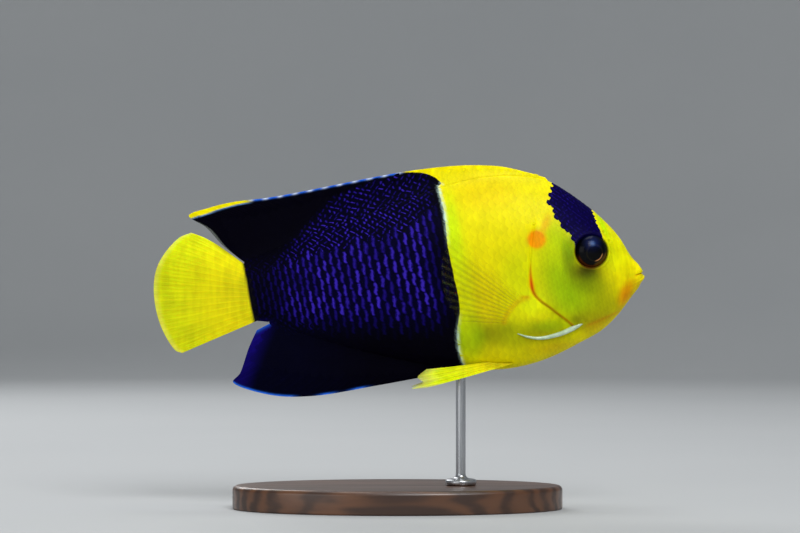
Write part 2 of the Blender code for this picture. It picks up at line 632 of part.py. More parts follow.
def main():
    for old in list(bpy.data.objects):
        bpy.data.objects.remove(old)
    yellow_skin = material("Yellow skin", YELLOW, 0.35)
    blue_skin = material("Blue skin", BLUE, 0.35)
    yellow_fin = material("Yellow fin", (0.9, 0.74, 0.03), 0.4)
    blue_fin = material("Blue fin", (0.015, 0.012, 0.16), 0.4)
    clear_fin = material("Clear yellow fin", (0.85, 0.78, 0.2), 0.3)
    dark_eye = material("Dark eye", (0.008, 0.012, 0.03), 0.08)
    base_finish = material("Dark base", (0.06, 0.06, 0.065), 0.5)
    rod_finish = material("Steel rod", (0.6, 0.6, 0.62), 0.3, metallic=1.0)

    head(yellow_skin)
    body_length("shoulders", np.linspace(0, 1, 9),
                lambda t, level: gill_opening(level) + NODE_GAP
                + t * (colour_edge(level) - gill_opening(level) - NODE_GAP), yellow_skin, 24)
    body_length("trunk", np.linspace(0, 1, 11),
                lambda t, level: colour_edge(level) + NODE_GAP
                + t * (TAIL_CUT - colour_edge(level) - NODE_GAP), blue_skin, 24)
    body_length("tail_stalk", np.linspace(0, 1, 5),
                lambda t, level: TAIL_CUT + NODE_GAP
                + t * (stalk_end(level) - TAIL_CUT - NODE_GAP), blue_skin, 16)
    dorsal_fin(blue_fin)
    anal_fin(blue_fin)
    caudal_fin(yellow_fin)
    for word, side in (("right", -1), ("left", 1)):
        gill_cover(f"gill_cover_{word}", side, yellow_skin)
        eyeball(f"eye_{word}", side, 0.0, dark_eye)
        pectoral_fin(f"pectoral_fin_{word}", side, clear_fin)
        pelvic_fin(f"pelvic_fin_{word}", side, yellow_fin)
    stand(base_finish, rod_finish)


main()
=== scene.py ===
# %% [markdown]
# # A bicolor angelfish on a display stand
#
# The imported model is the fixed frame: its solids give every place and size. This lesson dresses it with one
# closed skin, a coat of overlapping scales, fins with fine rays, glossy eyes and a satin stand. Every surface
# is worked out with numpy, as whole tables of points, and then handed to Blender as a mesh.

# %% Load the frame
import json

import bpy
import numpy as np
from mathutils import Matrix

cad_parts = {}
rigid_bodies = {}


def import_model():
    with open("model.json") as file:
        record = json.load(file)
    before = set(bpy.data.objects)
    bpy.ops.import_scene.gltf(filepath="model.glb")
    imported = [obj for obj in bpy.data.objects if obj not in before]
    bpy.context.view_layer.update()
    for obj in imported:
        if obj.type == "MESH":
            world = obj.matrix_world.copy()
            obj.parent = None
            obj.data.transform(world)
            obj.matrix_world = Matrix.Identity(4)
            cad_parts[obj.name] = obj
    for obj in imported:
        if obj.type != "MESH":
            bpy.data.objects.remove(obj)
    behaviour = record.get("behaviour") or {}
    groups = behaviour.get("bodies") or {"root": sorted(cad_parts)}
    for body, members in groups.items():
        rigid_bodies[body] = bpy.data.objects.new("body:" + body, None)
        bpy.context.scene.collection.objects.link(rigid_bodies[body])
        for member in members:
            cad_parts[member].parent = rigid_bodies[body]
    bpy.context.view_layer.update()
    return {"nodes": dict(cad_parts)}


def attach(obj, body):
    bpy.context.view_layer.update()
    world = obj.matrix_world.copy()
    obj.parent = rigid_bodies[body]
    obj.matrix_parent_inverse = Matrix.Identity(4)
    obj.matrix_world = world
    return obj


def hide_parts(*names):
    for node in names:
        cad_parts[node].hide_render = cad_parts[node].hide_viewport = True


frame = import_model()
print("solids in the frame:", ", ".join(sorted(frame["nodes"])))

# %% [markdown]
# ## The fish's own sizes
#
# These are the sizes that shaped the solids, in millimetres, so each new surface lies where its solid lies.
# A place on the fish is how far it is behind the snout, above the mouth, and aside of the middle plane. The
# fish swims towards +X and its right side looks towards -Y.

# %% Sizes of the body
MM = 0.001
TOTAL_LENGTH = 125.0
MOUTH_HEIGHT = 60.0
TAIL_SWING = 5.0
SWING_START = 62.0
COAT = 0.2
BACK = ((0, 1.4), (2.8, 4.3), (5.9, 9.2), (9.9, 13.6), (16, 18.6), (24.2, 23.6), (32, 24.9), (41.5, 24.4),
        (51.7, 21.9), (62, 18.4), (75, 13.6), (87, 9.2), (94, 6.2), (102, 2.9))
BELLY = ((0, -2.6), (2.8, -6.2), (5.9, -10.3), (9.9, -14.3), (16, -17.9), (24.2, -21.9), (32.3, -24.2),
         (41.5, -24.9), (51.7, -24.0), (62, -22.1), (75, -19.0), (87, -15.4), (94, -12.9), (102, -11.9))
FLANK = ((0, 1.3), (1, 2.3), (2.8, 3.4), (5.9, 5.0), (9.9, 6.5), (16, 7.9), (24, 8.7), (32, 8.9),
         (41.5, 8.6), (51.7, 7.9), (62, 6.9), (75, 5.4), (87, 3.9), (94, 3.0), (102, 2.1))
BACK_RIDGE = ((0, 0.3), (24, 0.6), (35, 1.3), (70, 1.3), (102, 0.9))
BELLY_RIDGE = ((0, 0.3), (40, 0.5), (55, 1.2), (90, 1.2), (102, 0.8))
BACK_WEDGE = ((0, 0.52), (16, 0.6), (40, 0.82), (102, 0.8))
BELLY_WEDGE = ((0, 0.52), (16, 0.6), (40, 0.6), (60, 0.78), (102, 0.8))
FLANK_FULLNESS = 2.3
SNOUT_ROUNDING = 1.1
STALK_END = 100.3
STALK_END_LEAN = 1.4
GILL_OPENING = ((-1, 15.0), (-0.68, 18.4), (-0.45, 23.2), (-0.27, 27.6), (-0.15, 28.6), (0.3, 28.4),
                (0.6, 27.2), (1, 24.4))
CHEEK_EDGE = ((-1, 11.0), (-0.68, 15.4), (-0.35, 19.0), (0, 20.6), (0.4, 20.4), (1, 18.0))
COLOUR_EDGE = ((-1, 45.2), (-0.8, 46.9), (-0.6, 47.4), (-0.35, 46.8), (0, 48.3), (0.3, 49.7), (0.7, 50.7),
               (1, 52.2))

# %% [markdown]
# ## Smooth curves and the body's cross-sections
#
# A table of a few points becomes a smooth curve of cubic pieces. The body is then a stack of upright
# cross-sections: each runs from a narrow ridge on the back, round a full flank, to a ridge under the belly.

# %% Curves
def smooth(points, column=1):
    """Cubic Hermite pieces through (x, y) points, whose slopes are the mean of the rises beside each."""
    x = np.array([p[0] for p in points], float)
    y = np.array([p[column] for p in points], float)
    rise = np.diff(y) / np.diff(x)
    slope = np.concatenate([rise[:1], (rise[:-1] + rise[1:]) / 2, rise[-1:]])

    def value(at):
        at = np.clip(np.asarray(at, float), x[0], x[-1])
        i = np.clip(np.searchsorted(x, at, side="right") - 1, 0, len(x) - 2)
        width = x[i + 1] - x[i]
        t = (at - x[i]) / width
        return ((1 + 2 * t) * (1 - t) ** 2 * y[i] + t * (1 - t) ** 2 * width * slope[i]
                + t * t * (3 - 2 * t) * y[i + 1] + t * t * (t - 1) * width * slope[i + 1])

    return value


def curves(points):
    """One smooth curve for each column after the first."""
    return [smooth(points, column) for column in range(1, len(points[0]))]


def ease(t):
    """0 below 0, 1 above 1, and 3t^2 - 2t^3 between."""
    t = np.clip(t, 0, 1)
    return t * t * (3 - 2 * t)


def bump(distance, reach):
    """A bell: 1 where the distance is 0, e^-1 where it equals the reach."""
    return np.exp(-((distance / reach) ** 2))


back_line, belly_line, flank_line = smooth(BACK), smooth(BELLY), smooth(FLANK)
back_ridge, belly_ridge = smooth(BACK_RIDGE), smooth(BELLY_RIDGE)
back_wedge, belly_wedge = smooth(BACK_WEDGE), smooth(BELLY_WEDGE)
gill_opening, cheek_edge, colour_edge = smooth(GILL_OPENING), smooth(CHEEK_EDGE), smooth(COLOUR_EDGE)
print(f"deepest part of the body: {back_line(36.0) - belly_line(36.0):.1f} mm")


# %% Cross-sections
def swing(behind):
    """The tail's sideways swing, which grows with the square of the way back from its start."""
    return TAIL_SWING * np.clip((behind - SWING_START) / (TOTAL_LENGTH - SWING_START), 0, 1) ** 2


def place(behind, up, aside):
    """Fish places in millimetres to frame points in metres."""
    behind, up, aside = np.broadcast_arrays(behind, up, aside)
    return MM * np.stack([TOTAL_LENGTH / 2 - behind, aside + swing(behind), MOUTH_HEIGHT + up], -1)


def snout_round(behind):
    """A quarter circle that closes the front of the snout."""
    t = np.clip(1 - behind / SNOUT_ROUNDING, 0, 1)
    return np.sqrt(1 - t * t)


def middle_line(behind):
    """Half way between the back and the belly."""
    return (back_line(behind) + belly_line(behind)) / 2


def half_height(behind):
    """Half the body's depth."""
    return (back_line(behind) - belly_line(behind)) / 2


def height_at(behind, level):
    """Height at a level that runs from -1 at the belly to 1 at the back."""
    return middle_line(behind) + level * half_height(behind) * snout_round(behind)


def level_at(behind, up):
    """The level of a height: the inverse of height_at."""
    return (up - middle_line(behind)) / (half_height(behind) * np.maximum(snout_round(behind), 0.05))


def half_width(behind, level):
    """Ridge + (flank - ridge) * (1 - |level|^fullness)^wedge, with a ridge and wedge for above and below."""
    level = np.clip(level, -1, 1)
    above = level > 0
    full = flank_line(behind)
    ridge = np.minimum(np.where(above, back_ridge(behind), belly_ridge(behind)), full)
    wedge = np.where(above, back_wedge(behind), belly_wedge(behind))
    shape = (1 - np.abs(level) ** FLANK_FULLNESS) ** wedge
    return (ridge + (full - ridge) * shape) * snout_round(behind)


def skin_at(behind, up):
    """Half width of the body at a place seen from the side."""
    return half_width(behind, level_at(behind, up))


print(f"width at the gill covers: {2 * skin_at(26.0, 0.0):.1f} mm")

# %% [markdown]
# ## Making meshes and showing pieces
#
# A mesh is a table of points and a table of faces that name them, and foreach_set loads whole arrays at once.
# The signed volume of a closed surface says whether its faces look outwards. If they don't, they are turned.

# %% Mesh helpers
def signed_volume(points, quads):
    """Sum over each face, cut in two triangles, of a . (b x c) / 6."""
    total = 0.0
    for i, j, k in ((0, 1, 2), (0, 2, 3)):
        a, b, c = (points[quads[:, n]] for n in (i, j, k))
        total += np.einsum("ij,ij->", a, np.cross(b, c)) / 6
    return total


def make_mesh(name, points, quads, closed=True):
    """A mesh object from points (n, 3) and quads (m, 4). A last corner named twice makes a triangle."""
    if closed and signed_volume(points, quads) < 0:
        quads = quads[:, [1, 0, 3, 2]]
    sizes = np.where(quads[:, 2] == quads[:, 3], 3, 4)
    corners = quads[np.arange(4) < sizes[:, None]]
    mesh = bpy.data.meshes.new(name)
    mesh.vertices.add(len(points))
    mesh.vertices.foreach_set("co", points.astype(np.float32).ravel())
    mesh.loops.add(len(corners))
    mesh.loops.foreach_set("vertex_index", corners.astype(np.int32))
    mesh.polygons.add(len(quads))
    mesh.polygons.foreach_set("loop_start", np.concatenate([[0], np.cumsum(sizes)[:-1]]).astype(np.int32))
    mesh.update(calc_edges=True)
    mesh.shade_smooth()
    if mesh.validate():
        print(name, "had faces that were mended")
    return bpy.data.objects.new(name, mesh)


def give_values(piece, **tables):
    """Stores a number or a colour for each point, which a material reads by its name."""
    for name, values in tables.items():
        kind, field = ("FLOAT", "value") if values.ndim == 1 else ("FLOAT_COLOR", "color")
        if field == "color":
            values = np.concatenate([values, np.ones((len(values), 1))], axis=1)
        layer = piece.data.attributes.new(name, kind, "POINT")
        layer.data.foreach_set(field, values.astype(np.float32).ravel())


def give_map(piece, name, uv):
    """Stores a UV map from a table with one pair for each point."""
    corners = np.zeros(len(piece.data.loops), np.int32)
    piece.data.loops.foreach_get("vertex_index", corners)
    piece.data.uv_layers.new(name=name).data.foreach_set("uv", uv[corners].astype(np.float32).ravel())


def show(piece, finish, slot, *nodes):
    """Puts a piece in the scene on the frame's one body, with its finish, in place of the nodes named."""
    link(piece)
    piece.data.materials.append(finish)
    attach(piece, "root")
    if nodes:
        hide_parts(*nodes)
    triangles = len(piece.data.loops) - 2 * len(piece.data.polygons)
    print(f"{piece.name}: {triangles} triangles")


def grid_quads(rows, columns, around=False):
    """Quads of a grid of points. A grid that goes around joins its last column to its first."""
    i, j = np.meshgrid(np.arange(rows - 1), np.arange(columns if around else columns - 1), indexing="ij")
    k = (j + 1) % columns
    near, far = i * columns, (i + 1) * columns
    return np.stack([near + j, near + k, far + k, far + j], -1).reshape(-1, 4)


def grid_rim(rows, columns):
    """The points along the rim of a grid, once round."""
    grid = np.arange(rows * columns).reshape(rows, columns)
    return np.concatenate([grid[0, :-1], grid[:-1, -1], grid[-1, :0:-1], grid[:0:-1, 0]])


def cap_quads(ring, centre, turn):
    """A fan of triangles from a closed ring of points to one centre point."""
    after = np.roll(ring, -1)
    a, b = (ring, after) if turn else (after, ring)
    middle = np.full(len(ring), centre)
    return np.stack([a, b, middle, middle], -1)


def tube_mesh(name, rings):
    """Rings of points (n, m, 3), each round the same axis, joined and closed with a fan at both ends."""
    rows, columns = rings.shape[:2]
    points = np.concatenate([rings.reshape(-1, 3), rings[:1].mean(1), rings[-1:].mean(1)])
    first, last = np.arange(columns), (rows - 1) * columns + np.arange(columns)
    quads = np.concatenate([grid_quads(rows, columns, around=True), cap_quads(first, rows * columns, False),
                            cap_quads(last, rows * columns + 1, True)])
    return make_mesh(name, points, quads), points


def sheet_mesh(name, behind, up, middle, half):
    """A thin closed sheet: two faces, half a thickness each side of a middle surface, joined at the rim."""
    rows, columns = behind.shape
    count = rows * columns
    points = np.concatenate([place(behind, up, middle - half).reshape(-1, 3),
                             place(behind, up, middle + half).reshape(-1, 3)])
    face = grid_quads(rows, columns)
    rim = grid_rim(rows, columns)
    after = np.roll(rim, -1)
    side = np.stack([after, rim, rim + count, after + count], -1)
    return make_mesh(name, points, np.concatenate([face, face[:, ::-1] + count, side])), points


def fish_places(points):
    """Frame points in metres back to places behind the snout and above the mouth, in millimetres."""
    return TOTAL_LENGTH / 2 - points[:, 0] / MM, points[:, 2] / MM - MOUTH_HEIGHT


def link(thing):
    """Puts an object in the scene."""
    bpy.context.scene.collection.objects.link(thing)


# %% [markdown]
# ## The camera
#
# The photograph looks at the fish's right side from straight abreast, with a long lens. The camera is put
# there first, so that everything after it can be judged in the same view.

# %% Camera
CAMERA_PLACE = (0.00064, -0.76374, 0.061655)
camera_data = bpy.data.cameras.new("side_camera")
camera_data.lens = 135
camera_data.sensor_width = 36
camera_data.clip_start = 0.05
camera = bpy.data.objects.new("side_camera", camera_data)
camera.location = CAMERA_PLACE
camera.rotation_euler = (np.pi / 2, 0, 0)
link(camera)
bpy.context.scene.camera = camera
print("camera distance:", round(-camera.location.y * 1000), "mm")

# %% [markdown]
# ## The fish's markings
#
# The front of the fish is yellow with a greenish cheek, an orange spot on the shoulder and orange under the
# chin. A blue band runs from the forehead to the eye, and all behind the middle is blue-black but the tail
# fin. The markings are formulas of the place on the fish, and skin, scales and fins all ask the same ones.
# Some shade is painted into the yellow too: it darkens low down, and a few dabs are painted shadows.

# %% Where the fish is blue
BAND_FRONT = ((4.0, 10.4), (9.2, 10.8), (12.7, 12.1), (15.8, 12.5), (20.0, 14.0))
BAND_BACK = ((4.0, 17.6), (7.4, 17.9), (8.5, 18.8), (13.2, 22.2), (17.0, 24.4), (19.1, 24.7), (21.5, 24.0),
             (23.2, 22.9))
TOP_BORDER = ((51.3, 22.4), (51.8, 23.4), (52.6, 24.1), (54.2, 24.9), (56.2, 25.5), (62.1, 25.7),
              (65, 26.2), (70, 40))
HEAD_END = 35.0
band_front, band_back, top_border = smooth(BAND_FRONT), smooth(BAND_BACK), smooth(TOP_BORDER)


def blue_depth(behind, up):
    """How far inside the blue a place is, in millimetres. It is negative in the yellow."""
    rear = behind - colour_edge(level_at(behind, up))
    crest = np.minimum(behind - 51.4, top_border(behind) - up)
    rear = np.where((up > 22.4) & (behind < 70), np.minimum(rear + 0.8, crest), rear)
    band = np.minimum(behind - band_front(up), band_back(up) - behind)
    return np.maximum(rear, np.minimum(band, up - 5.2))


# %% Colours of the yellow skin
def linear(red, green, blue):
    """A colour as seen on a screen, 0 to 255, to the linear numbers that light needs."""
    c = np.array([red, green, blue]) / 255
    return np.where(c < 0.04045, c / 12.92, ((c + 0.055) / 1.055) ** 2.4)


YELLOW = linear(252, 236, 1)
LEMON = linear(228, 242, 1)
BLUE_BLACK = linear(1, 0, 9)
NAVY = linear(1, 1, 20)
NIGHT_VIOLET = linear(7, 2, 55)
# Each dab is (behind, up, reach along, reach up, lean, strength, red, green, blue).
DABS = (
    (21.0, -2.0, 6.0, 12.0, 0.15, 0.85, 146, 188, 2),
    (15.0, -6.5, 5.5, 5.5, 0.0, 0.6, 146, 188, 2),
    # Painted shade round the eye's socket.
    (13.4, 5.0, 5.9, 5.9, 0.0, 0.5, 112, 122, 2),
    (14.6, 0.3, 3.8, 2.5, 0.0, 0.95, 58, 50, 2),
    (13.6, -2.6, 4.4, 2.8, 0.0, 0.65, 98, 122, 2),
    (9.4, -7.8, 5.2, 4.8, 0.0, 0.55, 140, 146, 2),
    (14.8, -11.6, 5.2, 2.4, -0.3, 0.45, 140, 128, 2),
    (30.6, 0.4, 5.5, 6.5, 0.0, 0.55, 196, 206, 2),
    (21.8, 9.4, 3.2, 4.2, 0.3, 0.45, 168, 214, 2),
    (40.5, 20.6, 8.5, 4.6, 0.0, 0.5, 255, 216, 1),
    # Painted shadow in a band under the pectoral fin and the cheek spine.
    (35.0, -15.4, 11.0, 3.7, 0.0, 0.85, 134, 134, 2),
    (2.2, -2.6, 2.0, 1.4, 0.0, 0.5, 200, 160, 2),
    (48.4, 9.5, 1.9, 10.0, 0.12, 0.8, 206, 252, 6),
    # Painted shadow under the pectoral fin, further forward.
    (25.5, -14.4, 4.5, 1.8, -0.1, 0.5, 112, 112, 2),
    # Painted shadow along the rear edge of the eye.
    (19.0, 1.5, 1.6, 5.5, 0.25, 0.4, 74, 80, 2),
    (4.6, -5.2, 1.8, 3.2, -0.3, 0.85, 226, 138, 1),
    (10.0, -13.5, 4.5, 2.4, -0.7, 0.55, 208, 156, 2),
    (20.0, -19.5, 7.0, 1.9, -0.4, 0.55, 208, 156, 2),
    (17.4, -11.8, 2.0, 1.2, 0.0, 0.4, 74, 80, 2),
    (28.2, -7.6, 3.8, 3.4, 0.0, 0.9, 244, 250, 10),
    (24.0, -13.2, 5.0, 1.8, -0.4, 0.5, 146, 188, 2),
    (45.0, -16.0, 4.6, 5.6, 0.1, 0.85, 112, 164, 2),
    # Painted shadow under the pectoral fin's base.
    (34.8, -14.0, 2.0, 1.3, 0.0, 0.35, 74, 80, 2),
    (33.0, -8.0, 5.0, 12.0, 0.0, 0.35, 228, 242, 1),
    (46.0, -4.0, 3.0, 20.0, 0.1, 0.6, 228, 242, 1),
    # Painted shadow behind the eye, higher up.
    (18.9, 6.2, 2.3, 3.6, -0.1, 0.5, 84, 140, 6),
    (7.5, 6.0, 4.6, 6.0, 0.0, 0.35, 228, 254, 4),
    (10.6, 12.4, 0.9, 3.2, 0.4, 0.6, 168, 244, 2),
    (23.5, 4.6, 3.0, 3.4, 0.0, 0.3, 228, 242, 6),
    (25.2, -6.0, 2.0, 2.0, 0.0, 0.35, 150, 165, 3),
    (27.5, 8.5, 1.8, 1.75, 0.0, 4.0, 254, 160, 1),
    (25.2, 12.3, 1.1, 2.6, -0.35, 0.5, 254, 160, 1),
)


def mix(first, second, weight):
    """Two colours blended by a weight for each place, kept between 0 and 1."""
    return first + (second - first) * np.clip(weight, 0, 1)[..., None]


def paint(behind, up):
    """The yellow skin's colour: a warm yellow with each dab laid over it by a bell of its own reach.

    The yellow is darker lower down, a painted shade, and some dabs are painted shadows.
    """
    behind, up = np.broadcast_arrays(np.asarray(behind, float), np.asarray(up, float))
    # Painted shade: the yellow is darker lower down, as under light from above.
    colour = YELLOW * (1 - 0.12 * ease((15 - up) / 12))[..., None]
    for s, h, along, tall, lean, strength, *shade in DABS:
        across = behind - s - lean * (up - h)
        far = (across / along) ** 2 + ((up - h) / tall) ** 2
        colour = mix(colour, linear(*shade), strength * np.exp(-far ** 1.5))
    return colour


def night(behind, up):
    """The blue's dark ground: near black, navy on the rear of the anal fin, violet on the head."""
    colour = mix(BLUE_BLACK, NAVY, ease((behind - 66) / 26) * ease((-up - 9) / 7))
    rear = 0.3 * ease((behind - 92.5 + 0.39 * (up + 13.5)) / 5.0) * ease((-up - 11) / 2.5)
    colour = mix(colour, linear(28, 12, 140), rear)
    return np.where((behind < HEAD_END)[..., None], NIGHT_VIOLET, colour)


print(f"blue covers {(blue_depth(np.linspace(1, 100, 500), 0.0) > 0).mean():.0%} of the midline")

# %% [markdown]
# ## Building materials from nodes
#
# A material is a small tree of nodes that ends in one Principled shader. A wire is a value on its way between
# two nodes. A sum of wires, like `a * b + c`, becomes Math nodes, so that each tree reads like its formula.

# %% Node helpers
def add_node(tree, kind, values=None, **settings):
    """Adds a node. A wire is joined to its input, another value is set on it, a colour with full opacity."""
    node = tree.nodes.new(kind)
    for name, value in settings.items():
        setattr(node, name, value)
    for key, value in (values or {}).items():
        if isinstance(value, Wire):
            tree.links.new(value.socket, node.inputs[key])
        elif isinstance(value, np.ndarray):
            node.inputs[key].default_value = (*value.tolist(), 1.0)
        else:
            node.inputs[key].default_value = value
    return node


class Wire:
    """A value on its way between nodes. Each sum or step with it adds one node to its tree."""

    def __init__(self, socket):
        self.socket = socket
        self.tree = socket.id_data

    def into(self, kind, values, **settings):
        """The first output of a new node whose first input is this wire."""
        return Wire(add_node(self.tree, kind, {0: self, **values}, **settings).outputs[0])

    def math(self, operation, *others):
        """A Math node of this wire and the others."""
        return self.into("ShaderNodeMath", dict(enumerate(others, 1)), operation=operation)

    def __add__(self, other):
        return self.math("ADD", other)

    def __sub__(self, other):
        return self.math("SUBTRACT", other)

    def __mul__(self, other):
        return self.math("MULTIPLY", other)

    def step(self, low, high, start=0.0, end=1.0):
        """A soft step from start to end while the value goes from low to high."""
        values = {1: low, 2: high, 3: start, 4: end}
        return self.into("ShaderNodeMapRange", values, interpolation_type="SMOOTHSTEP")

    def lit(self, gain):
        """A colour made brighter or darker by a gain."""
        return self.into("ShaderNodeVectorMath", {"Scale": gain}, operation="SCALE")


def blend(factor, first, second):
    """One colour blended with another by a factor, which is a wire."""
    values = {0: factor, 6: first, 7: second}
    return Wire(add_node(factor.tree, "ShaderNodeMix", values, data_type="RGBA").outputs[2])


def own_places(tree, stretch):
    """The object's own coordinates in metres, stretched along each axis."""
    own = Wire(add_node(tree, "ShaderNodeTexCoord").outputs["Object"])
    return own.into("ShaderNodeMapping", {"Scale": stretch})


def noise_of(tree, scale, detail=3.0, stretch=(1, 1, 1)):
    """Smooth noise in features to the metre."""
    return own_places(tree, stretch).into("ShaderNodeTexNoise", {"Scale": scale, "Detail": detail})


def stored(tree, name, kind="Fac"):
    """Reads a table stored by give_values, as a number or as a Color."""
    return Wire(add_node(tree, "ShaderNodeAttribute", attribute_name=name).outputs[kind])


def map_parts(tree, name):
    """The two numbers, u and v, of a stored map."""
    uv = Wire(add_node(tree, "ShaderNodeUVMap", uv_map=name).outputs[0])
    parts = add_node(tree, "ShaderNodeSeparateXYZ", {0: uv})
    return Wire(parts.outputs[0]), Wire(parts.outputs[1])


def new_material(name, **shader):
    """A material with one Principled shader whose own sockets hold the numbers that are the same all over."""
    material = bpy.data.materials.new(name)
    material.use_nodes = True
    principled = material.node_tree.nodes["Principled BSDF"]
    for key, value in shader.items():
        principled.inputs[key.replace("_", " ")].default_value = value
    return material, material.node_tree, principled


def finish_with(shader, colour, roughness=None, height=None, depth=0.05, strength=0.5, cover=None):
    """Joins wires to the shader: colour, roughness, cover, and a height as a bump of a depth in mm."""
    wires = {"Base Color": colour, "Roughness": roughness, "Alpha": cover}
    if height:
        values = {"Height": height, "Distance": depth * MM, "Strength": strength}
        wires["Normal"] = Wire(add_node(colour.tree, "ShaderNodeBump", values).outputs[0])
    for name, wire in wires.items():
        if wire:
            colour.tree.links.new(wire.socket, shader.inputs[name])


# %% [markdown]
# Living skin is never one flat colour: fine mottling changes it from place to place, and tiny pores break the
# shine. Skin, scales and fins share this effect as one group of nodes, each with its own amount.

# %% Mottling shared by skin, scales and fins
mottle_group = bpy.data.node_groups.new("mottle", "ShaderNodeTree")
MOTTLE_SOCKETS = (("INPUT", "Color", "Colour"), ("INPUT", "Float", "Amount"), ("OUTPUT", "Color", "Colour"),
                  ("OUTPUT", "Float", "Height"), ("OUTPUT", "Float", "Roughness"))
for way, kind, name in MOTTLE_SOCKETS:
    mottle_group.interface.new_socket(name, in_out=way, socket_type="NodeSocket" + kind)
inside = mottle_group.nodes.new("NodeGroupInput")
outside = mottle_group.nodes.new("NodeGroupOutput")
pores = noise_of(mottle_group, 1900.0)
clouds = noise_of(mottle_group, 260.0, 4.0).step(0.3, 0.7, -0.5, 0.5)
upright = noise_of(mottle_group, 800.0, 2.0, (1.0, 1.0, 0.12)).step(0.35, 0.65, -0.3, 0.3)
gain = (clouds + upright) * Wire(inside.outputs["Amount"]) + 1.0
for name, wire in (("Colour", Wire(inside.outputs["Colour"]).lit(gain)), ("Height", pores),
                   ("Roughness", pores.step(0.35, 0.7, 0.42, 0.6))):
    mottle_group.links.new(wire.socket, outside.inputs[name])


def mottled(colour, amount):
    """Places the mottling group in a material: colour, roughness and height come out."""
    values = {"Colour": colour, "Amount": amount}
    group = add_node(colour.tree, "ShaderNodeGroup", values, node_tree=mottle_group)
    return [Wire(group.outputs[name]) for name in ("Colour", "Roughness", "Height")]


# %% [markdown]
# ## The skin
#
# One closed skin stands in for the head, gill covers, shoulders, trunk and tail stalk, so that no seam shows.
# It lies inside those solids by the depth of the scales. Its cross-sections are theirs, set closer together,
# and a relief is added along the normals: eye sockets, gill opening, cheek groove, nostrils, lips and mouth.

# %% Relief of the head
EYE_BACK, EYE_UP, EYE_RADIUS, EYE_DEPTH, EYE_PROUD = 13.55, 5.45, 4.2, 2.7, 1.15
NOSTRILS = ((8.9, 8.0), (10.3, 10.3))
MOUTH_SLOPE = np.tan(np.radians(16))


def from_eye(behind, up):
    """Distance from the middle of the eye, seen from the side."""
    return np.hypot(behind - EYE_BACK, up - EYE_UP)


def gill_distance(behind, up):
    """Distance behind the line of the gill opening, measured straight across it, in millimetres."""
    level = np.clip(level_at(behind, up), -1, 1)
    lean = (gill_opening(level + 0.02) - gill_opening(level - 0.02)) / 0.04 / half_height(behind)
    return (behind - gill_opening(level)) / np.sqrt(1 + lean * lean)


def relief(behind, up):
    """Height of the skin's forms over the plain body, in mm: a sum of steps, bells and soft windows."""
    level = level_at(behind, up)
    eye = from_eye(behind, up)
    socket = -2.3 * (1 - ease((eye - 3.25) / 1.15)) + 0.34 * bump(eye - 4.6, 0.4)
    brow = 0.25 * bump(eye - 5.4, 1.3) * ease((up - 6.0) / 3.0)
    gap = gill_distance(behind, up)
    window = ease((level + 0.82) / 0.14) * (1 - ease((level - 0.36) / 0.22))
    cover = 0.38 * ease((gap + 5.5) / 5.2) * (1 - ease((gap + 0.02) / 0.26)) - 0.3 * bump(gap - 0.3, 0.24)
    cheek = behind - cheek_edge(level)
    groove = -0.14 * bump(cheek, 0.5) + 0.12 * bump(cheek + 1.6, 1.6)
    total = socket + brow + window * (cover + groove)
    for s, h in NOSTRILS:
        hole = np.hypot(behind - s, up - h)
        total = total + 0.13 * bump(hole - 0.55, 0.2) - 0.5 * bump(hole, 0.3)
    mouth = up + behind * MOUTH_SLOPE
    lips = 0.26 * bump(mouth - 0.75, 0.75) + 0.34 * bump(mouth + 1.15, 0.95)
    lips = lips * (1 - ease((behind - 1.6) / 1.8))
    slit = -0.5 * bump(mouth, 0.14) * (1 - ease((behind - 1.0) / 1.4))
    fold = -0.16 * bump(behind - 3.7 - 0.25 * np.abs(mouth), 0.4) * (1 - ease(np.abs(mouth) / 2.6))
    return total + lips + slit + fold


# %% Skin surface
SKIN_SIDE = 148
even = np.linspace(1, -1, SKIN_SIDE)
levels = 0.65 * even + 0.35 * np.sin(np.pi / 2 * even)
snout_stations = SNOUT_ROUNDING * (1 - np.cos(np.linspace(0.05, 1.2, 14)))
stations = np.concatenate([snout_stations, np.arange(0.8, 3.4, 0.09), np.arange(3.45, 32, 0.2),
                           np.linspace(32, STALK_END, 104)])


def body_rings(stations, levels):
    """Rings round the body: down the left flank from the back ridge and up the right one from the belly."""
    share = np.clip((stations - 90) / (STALK_END - 90), 0, 1)[:, None]
    behind = stations[:, None] + STALK_END_LEAN * levels * share
    up, aside = height_at(behind, levels), half_width(behind, levels)
    zero = np.zeros((len(stations), 1))
    ring_s, ring_h = (np.concatenate([side[:, :1], side, side[:, -1:], side[:, ::-1]], axis=1)
                      for side in (behind, up))
    return ring_s, ring_h, np.concatenate([zero, aside, zero, -aside[:, ::-1]], axis=1)


def grid_normals(points):
    """Outward normals of a grid that goes around: the cross product of its steps along and across."""
    along = np.gradient(points, axis=0)
    across = np.roll(points, -1, axis=1) - np.roll(points, 1, axis=1)
    normal = np.cross(along, across)
    normal /= np.linalg.norm(normal, axis=-1, keepdims=True) + 1e-12
    outward = points - points.mean(axis=1, keepdims=True)
    return normal * np.sign((normal * outward).sum(-1).mean())


ring_s, ring_h, ring_y = body_rings(stations, levels)
rings = place(ring_s, ring_h, ring_y)
rings = rings + MM * (relief(ring_s, ring_h) - COAT)[..., None] * grid_normals(rings)
skin, skin_points = tube_mesh("skin", rings)
print("skin rings:", rings.shape[:2])

# %% [markdown]
# The skin's finish mixes the fish's two grounds by how deep a place lies in the blue, with a little noise so
# that the border is no ruled line. The gill line and the folds of the jaw carry a thin rust-brown stain.

# %% Skin finish
RUST = linear(214, 110, 4)


